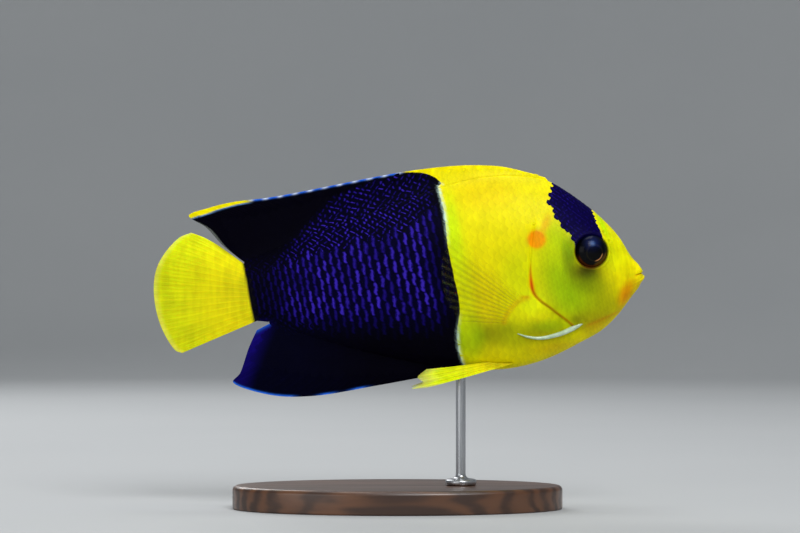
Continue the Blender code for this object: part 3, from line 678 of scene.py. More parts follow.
def stain(behind, up):
    """How rusty a place is: on the gill line, a belly fold, the mouth, the jaw and the pectoral's root."""
    level = level_at(behind, up)
    window = ease((level + 0.8) / 0.1) * (1 - ease((level + 0.02) / 0.16))
    corner = bump(up + 3.2, 2.8)
    gill = window * bump(gill_distance(behind, up) - 0.12, 0.24 + 0.28 * corner) * (0.6 + 0.4 * corner)
    fold = bump(up + 6.0, 0.32) * ease((behind - 28.8) / 0.8) * (1 - ease((behind - 31.0) / 1.2))
    mouth = bump(up + behind * MOUTH_SLOPE, 0.3) * (1 - ease((behind - 2.0) / 0.8))
    jaw = bump(up + 7.1 + 0.43 * behind, 0.4) * ease((behind - 4.5) / 3) * (1 - ease((behind - 13.5) / 2.5))
    root = bump(np.hypot(behind - 28.3, up + 13.5) - 7.3, 0.7) * ease((behind - 28.5) / 1.5) * ease(up + 13.5)
    return np.clip(gill + 0.3 * fold + 0.28 * mouth + 0.4 * jaw + 0.35 * root, 0, 1)


def skin_colour(behind, up):
    """The dabbed yellow with a dark ring round the eye and the rust over it.

    The back's crest is darkened as painted shade and the belly's rim brightened as painted light.
    """
    level = level_at(behind, up)
    # Painted shade: the crest of the back is darkened, to even it with the fin's side under the top light.
    crest = ease((level - 0.6) / 0.4) * ease((behind - 24) / 4) * (level < 1.01)
    skin = paint(behind, up) * (1 - 0.1 * crest)[..., None]
    # Painted light: the rim under the belly is brightened as if lit from below.
    skin = mix(skin, YELLOW, 0.65 * ease((-0.84 - level) / 0.14) * (1 - ease((behind - 38) / 6)))
    brown = ease((behind - EYE_BACK - up + EYE_UP) / 5)
    skin = mix(skin, mix(linear(22, 24, 8), linear(86, 40, 10), brown),
               0.9 * (1 - ease((from_eye(behind, up) - 4.1) / 0.55)))
    rust = mix(RUST, linear(226, 84, 3), bump(np.hypot(behind - 28.6, up + 2.8), 3.4))
    return mix(skin, rust, stain(behind, up))


skin_places = fish_places(skin_points)
give_values(skin, paint=skin_colour(*skin_places), night=night(*skin_places), blue=blue_depth(*skin_places))
skin_finish, tree, shader = new_material("fish_skin", Specular_IOR_Level=0.05, Coat_Weight=0.02,
                                         Coat_Roughness=0.25, Subsurface_Weight=0.12, Subsurface_Scale=0.0015)
border = noise_of(tree, 900.0) * 0.8 + stored(tree, "blue")
ground = blend(border.step(0.25, 0.55), stored(tree, "paint", "Color"), stored(tree, "night", "Color"))
finish_with(shader, *mottled(ground, 0.22), 0.04)
show(skin, skin_finish, "yellow_skin", "head", "gill_cover_right", "gill_cover_left", "shoulders", "trunk",
     "tail_stalk")

# %% [markdown]
# ## A chart of the flank
#
# Scales are laid out on a chart of the body: one way it runs behind the snout, the other way it follows the
# skin round from the middle of the flank, in true millimetres. The chart is a table of cross-sections, read
# between its entries, so that a scale near the back bends round with the skin.

# %% Flank chart
CHART_S = np.linspace(0.3, 102, 260)
CHART_STEPS = 90


def chart_half(sign):
    """Height, half width and total arc from the mid flank to one ridge, at even steps of the arc."""
    level = sign * np.sin(np.linspace(0, np.pi / 2, 300))
    up = height_at(CHART_S[:, None], level)
    aside = half_width(CHART_S[:, None], level)
    arc = np.cumsum(np.hypot(np.diff(up, prepend=up[:, :1]), np.diff(aside, prepend=aside[:, :1])), axis=1)
    share = np.linspace(0, 1, CHART_STEPS)
    up, aside = (np.array([np.interp(share * row[-1], row, line) for row, line in zip(arc, table)])
                 for table in (up, aside))
    return up, aside, arc[:, -1]


chart_up, chart_down = chart_half(1), chart_half(-1)


def read_table(table, row, column):
    """A table read between its entries: each of the four neighbours counts by how near it is."""
    row = np.clip(row, 0, table.shape[0] - 1.0001)
    column = np.clip(column, 0, table.shape[1] - 1.0001)
    i, j = row.astype(int), column.astype(int)
    a, b = row - i, column - j
    return ((1 - a) * (1 - b) * table[i, j] + (1 - a) * b * table[i, j + 1]
            + a * (1 - b) * table[i + 1, j] + a * b * table[i + 1, j + 1])


def arc_to_ridge(behind, sign):
    """Arc length from the mid flank to the back ridge (1) or the belly ridge (-1)."""
    return np.interp(behind, CHART_S, (chart_up if sign > 0 else chart_down)[2])


def body_place(behind, arc):
    """(behind, up, aside) on the right flank's plain surface, in millimetres, from a place on the chart."""
    row = (behind - CHART_S[0]) / (CHART_S[1] - CHART_S[0])
    above, below = ([read_table(table, row, np.clip(sign * arc / arc_to_ridge(behind, sign), 0, 1)
                                * (CHART_STEPS - 1)) for table in chart[:2]]
                    for sign, chart in ((1, chart_up), (-1, chart_down)))
    up, aside = (np.where(arc > 0, high, low) for high, low in zip(above, below))
    return np.stack([behind, up, aside], -1)


print(f"arc to the back ridge amidships: {arc_to_ridge(40.0, 1):.1f} mm")

# %% [markdown]
# ## The scales
#
# A fish's scales lie like roof tiles, in columns stepped by half a scale. Each one here is a small closed
# shell: a curved plate whose front is sunk in the skin and whose rounded rear edge stands a little proud,
# drawn together under the skin. One function lays a whole coat at once, from a table of roots.

# %% One coat of scales
SCALE_LEAN = 0.22
UNWRAP_ROUND = 210


def lay_scales(name, surface, roots, pitch, row, side, rows, columns, proud, sunk, seed, follow=1.0):
    """Scales on a surface(behind, arc) at roots (n, 2): u runs back along the scale, v up it.

    place = surface(s + L (u (1 - 0.3 v^2) - 0.38), a + H v / 2) + normal * (lift by u + dome by v)
    """
    random = np.random.default_rng(seed)
    count = len(roots)
    u, v = np.meshgrid(np.linspace(0, 1, rows), np.linspace(-1, 1, columns), indexing="ij")
    u, v = u.ravel(), v.ravel()
    length = (1.62 * pitch * random.uniform(0.94, 1.06, count))[:, None]
    tall = (1.08 * row * random.uniform(0.95, 1.05, count))[:, None]
    narrow = 1 - 0.16 * (1 - u) ** 2 - 0.12 * u ** 3
    ds = length * (u * (1 - 0.3 * v * v) - 0.38)
    da = tall * v * narrow / 2
    points = surface(roots[:, :1] + ds + SCALE_LEAN * da, roots[:, 1:2] + da)
    step = 0.15
    centre_s, centre_a = roots.T
    along = surface(centre_s + step, centre_a) - surface(centre_s - step, centre_a)
    across = surface(centre_s, centre_a + step) - surface(centre_s, centre_a - step)
    normal = np.cross(across, along)
    normal *= np.sign(normal[:, 2:])
    normal /= np.linalg.norm(normal, axis=1, keepdims=True)
    lift = (proud + sunk) * u - sunk + 0.3 * proud * (1 - v * v)
    lift = lift + random.uniform(-0.1, 0.1, (count, 1)) * proud
    lift = lift + relief(points[..., 0], points[..., 1]) * follow
    points = points + (lift - COAT)[..., None] * normal[:, None]
    centre = surface(centre_s, centre_a)
    deep = COAT + sunk + 0.3 - follow * relief(centre[:, 0], centre[:, 1])
    keel = centre - deep[:, None] * normal
    flat = np.concatenate([points, keel[:, None]], axis=1).reshape(-1, 3)
    size = rows * columns + 1
    faces = np.concatenate([grid_quads(rows, columns), cap_quads(grid_rim(rows, columns), size - 1, False)])
    quads = (faces + size * np.arange(count)[:, None, None]).reshape(-1, 4)
    piece = make_mesh(name, place(flat[:, 0], flat[:, 1], side * flat[:, 2]), quads)
    piece.data.shade_flat()
    own = np.stack([np.append(u, 0.4), np.append((v + 1) / 2, 0.5)], -1)
    own = np.broadcast_to(own, (count, size, 2)).reshape(-1, 2)
    give_map(piece, "OFBake", bake_place(roots, side, size) + 0.003 * (own - 0.5))
    give_map(piece, "scale", own)
    chance = np.repeat(random.uniform(0, 1, count), size)
    return piece, flat[:, 0], flat[:, 1], np.repeat(centre_s, size), np.repeat(centre[:, 1], size), chance


def bake_place(roots, side, size):
    """Each root's place on the skin's own unwrap: a strip for each flank, along the body and round it."""
    u = 0.04 + 0.92 * roots[:, 0] / TOTAL_LENGTH
    v = (0.25 if side < 0 else 0.75) + roots[:, 1] / UNWRAP_ROUND
    return np.repeat(np.stack([u, v], -1), size, axis=0)


def lattice(start, stop, reach, pitch, tall):
    """Roots in columns a pitch apart, stepped by half a row, leaning back as they go up: (behind, arc)."""
    columns = [start]
    while columns[-1] < stop:
        columns.append(columns[-1] + float(pitch(columns[-1])))
    table = []
    for number, s in enumerate(columns):
        row = float(tall * pitch(s))
        arc = row * (np.arange(int(-reach / row) - 1, int(reach / row) + 2) + 0.5 * (number % 2))
        table.append(np.stack([s + SCALE_LEAN * arc, arc], -1))
    return np.concatenate(table)


# %% Where the body's scales grow
# Each kind has the length of its shown part along the body, and how many times as tall it is.
LARGE = (smooth(((16, 1.3), (30, 1.4), (44, 1.65), (54, 1.95), (66, 2.0), (80, 1.8), (92, 1.5), (104, 1.1))),
         1.75)
SMALL = (smooth(((0, 0.9), (30, 1.05), (102, 1.0))), 1.5)
LATTICE_STOP, LATTICE_REACH, SCALES_END = 112, 30, 101
BELLY_BAND = 2.8
back_band = smooth(((40, 2.8), (50, 3.0), (56, 6.5), (63, 9.0), (70, 8.0), (80, 6.2), (92, 5.0), (104, 3.0)))


def edge_room(roots):
    """Arc left between a root and the nearer ridge."""
    s, arc = roots.T
    return np.where(arc > 0, arc_to_ridge(s, 1), arc_to_ridge(s, -1)) - np.abs(arc)


def is_edge(roots, over=0.0):
    """In the band of small scales along a ridge, which is broad under the dark part of the dorsal fin."""
    return edge_room(roots) <= np.where(roots[:, 1] > 0, back_band(roots[:, 0]), BELLY_BAND) + over


def stalk_room(behind, up):
    """How far ahead of the slanted end of the tail stalk a place is, in millimetres."""
    return STALK_END + STALK_END_LEAN * np.clip(level_at(behind, up), -1, 1) - behind


def is_trunk(roots):
    """Behind the gill opening, and clear of the small scales along the back and the belly."""
    s, up, _ = body_place(*roots.T).T
    return (gill_distance(s, up) > 1.55) & ~is_edge(roots) & (stalk_room(s, up) > 1.5)


def is_small(roots):
    """On the head and along the ridges, but not on the snout, the eye, the nostrils or the gill line."""
    s, up, _ = body_place(*roots.T).T
    gap = gill_distance(s, up)
    clear = (s > 7.5) & (from_eye(s, up) > 5.0) & (edge_room(roots) > 0.1)
    for hole_s, hole_h in NOSTRILS:
        clear &= np.hypot(s - hole_s, up - hole_h) > 1.5
    clear &= (gap < -1.35) | (gap > 1.2) | (level_at(s, up) > 0.5)
    return clear & ((gap < 1.55) | is_edge(roots, 1.2)) & (stalk_room(s, up) > 0.7)


def body_roots(start, first, kind, chosen):
    """The roots of one kind on the body: those of a lattice that lie behind first and are chosen."""
    roots = lattice(start, LATTICE_STOP, LATTICE_REACH, *kind)
    roots = roots[(roots[:, 0] > first) & (roots[:, 0] < SCALES_END)]
    return roots[chosen(roots)]


large_roots, small_roots = body_roots(10, 15, LARGE, is_trunk), body_roots(0, 5, SMALL, is_small)
print("scales a side:", len(large_roots), "large and", len(small_roots), "small")

# %% [markdown]
# On a black ground, each blue scale has one upright, wavy streak of violet-blue. The streak is drawn on the
# scale's own map, so it bends and leans with the scale. Yellow scales only have a slightly darker root.

# %% Finishes of the scales
VIOLET = linear(56, 37, 172)
DEEP_VIOLET = linear(20, 8, 100)
DEEP_NIGHT = linear(2, 1, 45)
ICE = linear(208, 240, 226)
FULL_TURN = 6.283


def streak_of(tree, along, upward):
    """How bright the streak is: 1 near its middle line, less towards its ends and by the scale's own glow.

    The line's u is 0.56 + sway + luck / 10 + bend * middle^2 + tilt * middle, with middle = v - 0.5. Wild
    scales sway, bend and tilt more, each by its own chance, and their streak is shorter.
    """
    chance, wild = stored(tree, "chance"), stored(tree, "wild")
    middle, luck = upward - 0.5, chance - 0.5
    draw = (chance * 7.3).math("FRACT") - 0.5
    sway = (upward * FULL_TURN + chance * wild * FULL_TURN).math("SINE") * (wild * 0.1 + 0.055)
    bend = middle * middle * (luck * (wild * 6.0) + 0.85)
    centre = sway + (luck * 0.1 + 0.56) + (bend + middle * draw * (wild * 1.9))
    rough = noise_of(tree, 1300.0, 2.0) - 0.5
    streak = (rough * 0.3 + (along - centre).math("ABSOLUTE")).step(0.01, 0.26, 1.0, 0.0)
    ends = upward.step(0.0, 0.14, 0.4) * upward.step(0.86, 1.0, 1.0, 0.4)
    short = (middle.math("ABSOLUTE") * wild).step(0.12, 0.36, 1.0, 0.0)
    return streak * (ends * short) * (stored(tree, "glow") * (draw * 0.5 + 0.75))


def scale_finish(name, **shader_values):
    """Yellow or dark ground by how deep in the blue a place lies, with the streak and the pale fringe."""
    finish, tree, shader = new_material(name, **shader_values)
    along, upward = map_parts(tree, "scale")
    tinted = stored(tree, "paint", "Color").lit(along.step(0.35, 0.95) * 0.1 + 0.92)
    streak = streak_of(tree, along, upward)
    dark = blend(streak.step(0.0, 0.6), stored(tree, "night", "Color"), DEEP_VIOLET)
    dark = blend(streak.step(0.4, 1.0), dark, VIOLET)
    border = (noise_of(tree, 900.0) - 0.5) * 0.5 + stored(tree, "blue")
    ground = blend(border.step(-0.12, 0.12), tinted, dark)
    ground = blend(stored(tree, "fringe"), ground, ICE)
    finish_with(shader, *mottled(ground, 0.12), 0.02)
    return finish


SCALE_FINISHES = {
    "yellow": scale_finish("yellow_scale", Specular_IOR_Level=0.07, Coat_Weight=0.03, Coat_Roughness=0.3,
                           Subsurface_Weight=0.08, Subsurface_Scale=0.001),
    "blue": scale_finish("blue_scale", Specular_IOR_Level=0.025, Coat_Weight=0.005, Coat_Roughness=0.3),
}


# %% Coats on both flanks
YELLOW_RELIEF = 0.3


def blue_glow(behind, up):
    """How bright the streaks are: full amidships, faint at the border, low down and at the fin's rear."""
    low = ease((up + 17.5) / 10.0)
    width = 7.0 - 3.8 * ease((up - 5) / 7)
    front = 0.12 + 0.88 * ease((behind - colour_edge(level_at(behind, up)) - 0.6) / width)
    front = np.where(behind < HEAD_END, 0.36 + 0.3 * ease((behind - 15) / 5), front)
    front = front * (1 - 0.12 * ease((up - 13) / 5))
    rear = 1 - 0.75 * ease((behind - 84) / 14)
    rear_fin = 1 - ease((behind - 96.5 + 0.95 * up) / 4.0 + 0.5) * ease((up - 1.0) / 5.0)
    return np.clip(low * front * rear * rear_fin, 0, 1)


def blue_fringe(behind, up):
    """A thin ice-blue glow along the border, high on the flank and low down."""
    edge = bump(blue_depth(behind, up) + 0.1, 0.31) * (0.84 + 0.16 * np.sin(1.9 * up)) * (behind > HEAD_END)
    high = ease((up - 7.0) / 8.0) * (1 - ease((up - 22.5) / 1.5))
    low = ease((-13.0 - up) / 2.0) * (1 - ease((-23.0 - up) / 2.0))
    faint = 0.25 * (1 - ease((up + 12) / 3.0) * (1 - ease((up - 5.0) / 5.0)))
    return np.clip(edge * (0.8 * high + 0.5 * low + faint), 0, 0.9) * (up < 23.2)


def coat_of(label, surface, roots, kind, side, wild, proud, sunk, **options):
    """Lays one set of roots as two pieces, yellow and blue, by where the shown part of each scale lies."""
    pitch = kind[0](roots[:, 0])
    shown = surface(roots[:, 0] + 0.45 * pitch, roots[:, 1])
    is_blue = blue_depth(shown[:, 0], shown[:, 1]) > 0.3 * (roots[:, 0] < HEAD_END)
    name = "right" if side < 0 else "left"
    for tint, chosen, flat in (("yellow", ~is_blue, YELLOW_RELIEF), ("blue", is_blue, 1.0)):
        if not chosen.any():
            continue
        piece, s, h, root_s, root_h, chance = lay_scales(
            f"{tint}_{label}_{name}", surface, roots[chosen], pitch[chosen], kind[1] * pitch[chosen], side,
            proud=proud * flat, sunk=sunk * flat, **options)
        own = blue_depth(s, h)
        if surface is body_place:
            own = np.minimum(own, stalk_room(s, h) + 0.4)
        own = np.where((wild > 0) & (root_s < HEAD_END), 1.0 if tint == "blue" else -1.0, own)
        ground = mix(night(s, h), DEEP_NIGHT, (0.5 - 0.2 * wild) * blue_glow(s, h) * (s > HEAD_END))
        give_values(piece, paint=skin_colour(s, h), night=ground, blue=own, glow=blue_glow(root_s, root_h),
                    fringe=blue_fringe(s, h), chance=chance, wild=np.full(len(s), wild))
        show(piece, SCALE_FINISHES[tint], f"{tint}_skin")


for side in (-1, 1):
    coat_of("scales", body_place, large_roots, LARGE, side, 0.0, 0.1, 0.035, rows=6, columns=9, seed=11)
    coat_of("fine_scales", body_place, small_roots, SMALL, side, 1.0, 0.06, 0.025, rows=4, columns=5, seed=12)

# %% [markdown]
# ## The fins
#
# A fin is a thin membrane on straight rays. The spines in front are single and strong, and the soft rays
# behind them fork on their way out. The sheet's thickness follows them: a ridge over each ray, thin skin
# between, and a scaly foot that swells to meet the body.

# %% Rays
def ray_ridges(number, out, spines):
    """Height of the rays' ridges: a bell over each ray, which parts in two and then four on its way out."""
    soft = ease(number - spines + 1)
    parted = 0.23 * ease((out - 0.3) / 0.45) * soft
    twice = 0.11 * ease((out - 0.65) / 0.3) * soft
    off = np.abs(np.abs(np.abs(number - np.round(number)) - parted) - twice)
    return bump(off, 0.13 - 0.05 * ease((out - 0.3) / 0.5) * soft) * (1.5 - 0.5 * soft)


def fin_grid(root, tip, rays, rows, per_ray=10):
    """Places on a fin: straight rays between a root curve and a tip curve, at even shares."""
    shares = np.linspace(0, 1, (rays - 1) * per_ray + 1)[None]
    out = (1 - (1 - np.linspace(0, 1, rows)) ** 1.25)[:, None]
    behind, up = (start(shares) + (end(shares) - start(shares)) * out for start, end in zip(root, tip))
    return behind, up, shares * (rays - 1) + 0 * out, out + 0 * shares


def both(values):
    """The values of a sheet's grid, once for each of its two faces."""
    return np.tile(values.ravel(), 2)


def fin_sheet(name, places, middle, half, rays):
    """The closed sheet of a fin, and its points, with a map of its rays: rays across, the way out up."""
    behind, up, number, out = places
    sheet, points = sheet_mesh(name, behind, up, middle, half)
    give_map(sheet, "rays", np.stack([both(number) / rays, both(out)], -1))
    return sheet, points


DORSAL_ROOT = ((0, 23.0), (0.48, 75.9), (1, 101.0))
DORSAL_TIPS = ((0, 25.0, 24.35), (0.045, 29.5, 25.65), (0.13, 38.0, 27.3), (0.3, 58.0, 26.2),
               (0.48, 93.0, 19.6), (0.6, 104.0, 18.2), (0.72, 110.8, 16.6), (0.8, 115.9, 14.6),
               (0.87, 111.4, 11.6), (0.94, 107.2, 7.1), (1, 102.9, 3.7))
DORSAL_SPINES, DORSAL_RAYS = 15, 31
ANAL_ROOT = ((0, 50.6), (1, 93.6))
ANAL_TIPS = ((0, 54.5, -26.2), (0.2, 67.5, -28.6), (0.45, 85.0, -31.4), (0.62, 96.0, -30.9),
             (0.74, 104.4, -28.0), (0.82, 102.6, -25.4), (0.92, 100.4, -19.0), (1, 98.4, -14.6))
ANAL_SPINES, ANAL_RAYS = 3, 20
FIN_SUNK = 0.9
MEMBRANE_HALF = 0.15
FOOT_SWELL = 0.08
FOOT_REACH = 2.4
FIN_ROWS = 46


def foot_half(behind, above, ridge):
    """Half thickness of a fin's scaly foot: the body's ridge at its root, thinning as it rises."""
    thick = ridge(behind) - COAT - MEMBRANE_HALF - FOOT_SWELL
    return MEMBRANE_HALF + FOOT_SWELL + thick * np.exp(-np.clip(above, 0, None) / FOOT_REACH)


def sheet_half(foot, number, out, spines, sheath):
    """Half thickness of a fin: foot and rays' ridges, thinning to a fine margin, hidden in the sheath."""
    thin = 1 - 0.55 * ease((out - 0.75) / 0.25)
    shown = 1 - sheath * (1 - ease((out - 0.62) / 0.3))
    return foot * thin + 0.11 * ray_ridges(number, out, spines) * thin * shown


def median_fin(name, root, tips, spines, rays, line, ridge, up):
    """A fin on the middle plane, rooted in a line of the body: up is 1 on the back, -1 on the belly."""
    start = smooth(root)
    places = fin_grid((start, lambda t: line(start(t)) - up * FIN_SUNK), curves(tips), rays, FIN_ROWS)
    behind, height, number, out = places
    half = sheet_half(foot_half(behind, up * (height - line(behind)), ridge), number, out, spines, 0.85)
    return *fin_sheet(name, places, 0.0, half, rays), number, out


dorsal_fin, dorsal_points, dorsal_ray, dorsal_out = median_fin(
    "dorsal_fin_sheet", DORSAL_ROOT, DORSAL_TIPS, DORSAL_SPINES, DORSAL_RAYS, back_line, back_ridge, 1)
anal_fin, anal_points, anal_ray, anal_out = median_fin(
    "anal_fin_sheet", ANAL_ROOT, ANAL_TIPS, ANAL_SPINES, ANAL_RAYS, belly_line, belly_ridge, -1)
print("dorsal fin:", dorsal_ray.shape, "points a face")

# %% [markdown]
# The dorsal fin is yellow over the front half of the fish. Behind that it is blue-black, edged with a light
# blue line, and with a yellow strip near its tip. The anal fin is dark with a bright blue edge at the rear.

# %% Colours of the dark fins
SKY = linear(120, 175, 245)
AZURE = linear(40, 110, 240)
PEARL = linear(225, 238, 250)


def margin_of(tips, last):
    """The outer margin as a height over the way behind, from the tip table up to its point."""
    s, h = (curve(np.linspace(0, last, 200)) for curve in curves(tips))
    order = np.argsort(s)
    return lambda behind: np.interp(behind, s[order], h[order])


dorsal_margin, anal_margin = margin_of(DORSAL_TIPS, 0.8), margin_of(ANAL_TIPS, 0.74)


def dorsal_colour(behind, up):
    """Yellow in front and along a wedge, blue-black behind, with the light line and the yellow strip."""
    inside = dorsal_margin(behind) - up
    colour = mix(paint(behind, up), night(behind, up), ease(blue_depth(behind, up) / 0.3 + 0.5))
    rear = ease((behind - 99) / 3)
    line = bump(inside - 0.1, 0.28) * ease((behind - 60) / 3) * (1 - rear)
    beads = (0.5 + 0.5 * np.cos(2 * np.pi * (behind - 62.0) / 3.8)) ** 3
    colour = mix(mix(colour, AZURE, 0.9 * line), PEARL, line * beads)
    wedge = 0.45 + 0.75 * ease((behind - 99) / 14)
    colour = mix(colour, YELLOW, rear * (1 - ease((inside - wedge) / 0.25)))
    return mix(colour, SKY, 0.6 * rear * bump(inside - wedge - 0.3, 0.15))


def anal_colour(behind, up):
    """Blue-black with a bright blue lower and rear edge, which is broken into dashes in front."""
    dashes = ease((behind - 87) / 4) + bump(behind - 80.5, 2.0) + bump(behind - 72.5, 2.0)
    return mix(night(behind, up), AZURE, bump(up - anal_margin(behind) - 0.1, 0.3) * dashes)


def ray_material(name, lines, streaks, soft=0.3, relief=0.0, cover=None, **shader_values):
    """A fin finish: the stored paint, lighter along each ray, with the rays and mottling as bump."""
    material, tree, shader = new_material(name, **shader_values)
    across, out = map_parts(tree, "rays")
    ray = ((across * float(lines)).math("FRACT") - 0.5).math("ABSOLUTE").step(soft, 0.46)
    tinted = stored(tree, "paint", "Color").lit(ray * streaks + (1.0 - streaks / 2))
    colour, roughness, height = mottled(tinted, 0.15)
    finish_with(shader, colour, roughness, ray * relief + height, 0.03,
                cover=cover(ray, across, out) if cover else None)
    return material


def stored_cover(ray, across, out):
    """How solid a fin is, as stored for each point."""
    return stored(ray.tree, "body")


DARK_FIN = {"Specular_IOR_Level": 0.018, "Coat_Weight": 0.004, "Coat_Roughness": 0.3}
rim = both(ease((dorsal_out - 0.88) / 0.06) * ease((dorsal_ray / (DORSAL_RAYS - 1) - 0.82) / 0.03))
dorsal_paint = mix(dorsal_colour(*fish_places(dorsal_points)), linear(74, 82, 70), rim)
give_values(dorsal_fin, paint=dorsal_paint, body=1 - 0.5 * rim)
show(dorsal_fin, ray_material("dark_fin", DORSAL_RAYS, 0.15, cover=stored_cover, **DARK_FIN), "blue_fin",
     "dorsal_fin")

rear_glow, rear_edge = ease((anal_ray - 14.5) / 4.5), bump(anal_ray - 19, 0.3) * ease((anal_out - 0.1) / 0.2)
anal_paint = mix(anal_colour(*fish_places(anal_points)), linear(30, 14, 150), 0.3 * both(rear_glow))
give_values(anal_fin, paint=mix(anal_paint, AZURE, 0.55 * both(rear_edge)))
show(anal_fin, ray_material("dark_anal_fin", ANAL_RAYS, 0.15, **DARK_FIN), "blue_fin", "anal_fin")

# %% [markdown]
# Small scales climb from the body on to both fins and hide where they start. They are laid on a second chart,
# whose arc is the way up the fin from the body's ridge.

# %% Scales on the feet of the fins
def foot_place(line, ridge, up):
    """The right face of a fin's foot, as a surface over the way behind and the arc from the body's ridge."""
    def surface(behind, arc):
        aside = foot_half(behind, up * arc, ridge) + COAT + 0.05
        return np.stack([behind, line(behind) + arc, aside], -1)

    return surface


FEET_STOP, FEET_REACH, DORSAL_FOOT_START = 130, 22, 26.128
fin_roots = lattice(0, FEET_STOP, FEET_REACH, *SMALL)
s, arc = fin_roots.T
dorsal_share = 0.72 + 0.16 * bump(s - 64, 12.0)
on_dorsal = (arc > -0.5) & (arc < dorsal_share * (dorsal_margin(s) - back_line(s)))
on_dorsal &= (s > DORSAL_FOOT_START) & (s < 101.5 + 0.55 * arc)
on_anal = (arc < 0.5) & (arc > 0.62 * (anal_margin(s) - belly_line(s))) & (s > 52.5) & (s < 94.5 - 0.5 * arc)
feet = (("dorsal_foot", foot_place(back_line, back_ridge, 1), fin_roots[on_dorsal]),
        ("anal_foot", foot_place(belly_line, belly_ridge, -1), fin_roots[on_anal]))
for side in (-1, 1):
    for label, surface, roots in feet:
        coat_of(label, surface, roots, SMALL, side, 1.0, 0.035, 0.02, rows=4, columns=5, seed=13, follow=0.0)

# %% [markdown]
# ## The tail fin
#
# The tail fin is the one yellow part of the rear half. Its rays fan out from the end of the tail stalk, fork
# twice, and end in a gently rounded edge.

# %% Tail fin
CAUDAL_TIPS = ((0, 115.4, 10.3), (0.1, 118.6, 8.9), (0.3, 123.6, 2.6), (0.5, 125.0, -4.4),
               (0.7, 123.5, -12.6), (0.9, 119.6, -19.6), (1, 117.6, -20.5))
CAUDAL_REACH = (0.7, -0.96)
CAUDAL_RAYS = 17
CAUDAL_SUNK = 1.2
PALE_YELLOW = linear(252, 240, 130)
YELLOW_FIN = {"Specular_IOR_Level": 0.08, "Coat_Weight": 0.03, "Coat_Roughness": 0.35,
              "Subsurface_Scale": 0.001}


def caudal_level(share):
    """Where each ray starts on the end of the stalk: from below its upper corner down to its lower one."""
    return CAUDAL_REACH[0] + (CAUDAL_REACH[1] - CAUDAL_REACH[0]) * share


def caudal_root(share):
    """The tail fin's root follows the slanted end of the stalk, sunk a little into it."""
    return STALK_END + STALK_END_LEAN * caudal_level(share) - CAUDAL_SUNK


tail_start = (caudal_root, lambda t: height_at(caudal_root(t), caudal_level(t)))
tail_s, tail_h, tail_ray, tail_out = fin_grid(tail_start, curves(CAUDAL_TIPS), CAUDAL_RAYS, 52, 14)
tail_share = tail_ray / (CAUDAL_RAYS - 1)
tail_h = tail_h + 0.9 * np.sin(np.pi * tail_out ** 1.5) * (1 - tail_share) ** 4
tail_foot = skin_at(tail_s, tail_h) * 0.9 - 0.18
tail_foot = MEMBRANE_HALF + 0.03 + tail_foot * np.exp(-((tail_out * 20.0 / 4.2) ** 1.5))
tail_wave = 0.25 * np.sin(tail_ray * 0.9) * tail_out ** 2
tail_wave = tail_wave + 1.5 * np.clip(1 - tail_share / 0.38, 0, 1) ** 2 * ease(tail_out * 1.6)
tail_fin, tail_points = fin_sheet("caudal_fin_sheet", (tail_s, tail_h, tail_ray, tail_out), tail_wave,
                                  sheet_half(tail_foot, tail_ray, tail_out, 0, 0.6), CAUDAL_RAYS)
tail_paint = mix(YELLOW, LEMON, 0.1 + 0.8 * ease(both(tail_out) * 1.3 - 0.3))
tail_paint = (1 - 0.16 * both(ease((tail_share - 0.12) / 0.25)))[:, None] * tail_paint
tail_paint = mix(tail_paint, PALE_YELLOW, 0.35 * both(ease((tail_out - 0.93) / 0.07)))
give_values(tail_fin, paint=mix(BLUE_BLACK, tail_paint, both(ease(-stalk_room(tail_s, tail_h) / 0.7))))
yellow_fin = ray_material("yellow_fin", CAUDAL_RAYS, 0.07, relief=0.15, Subsurface_Weight=0.25, **YELLOW_FIN)
show(tail_fin, yellow_fin, "yellow_fin", "caudal_fin")

# %% [markdown]
# ## Breast and belly fins
#
# The pectoral fins are clear, yellowish fans that grow from a fleshy lobe behind the gill opening and stand a
# little off the flank. The pelvic fins are narrow yellow blades folded back under the belly.

# %% Pectoral fins
PECTORAL_ROOT = ((0, 30.9, -6.3), (0.5, 33.0, -9.1), (1, 35.2, -12.7))
PECTORAL_TIPS = ((0, 47.6, 10.0), (0.25, 50.6, 5.6), (0.55, 51.4, -1.2), (0.8, 49.8, -7.6), (1, 46.4, -12.2))
PECTORAL_SECTION = ((0, -0.2, 0.28), (0.1, 0.2, 0.28), (0.26, 0.7, 0.2), (0.5, 1.3, 0.13), (0.76, 1.9, 0.1),
                    (1, 2.6, 0.06))
PECTORAL_RAYS = 13
SIDES = ((-1, "right"), (1, "left"))


def clear_cover(ray, across, out):
    """Clear between rays, which fade on their way out and near the upper edge, and solid at the lobe."""
    seen = (ray * 0.15 + 0.025) * out.step(0.5, 1.0, 1.0, 0.5) * across.step(0.02, 0.26, 0.2, 1.0)
    return seen.math("MAXIMUM", stored(ray.tree, "body"))


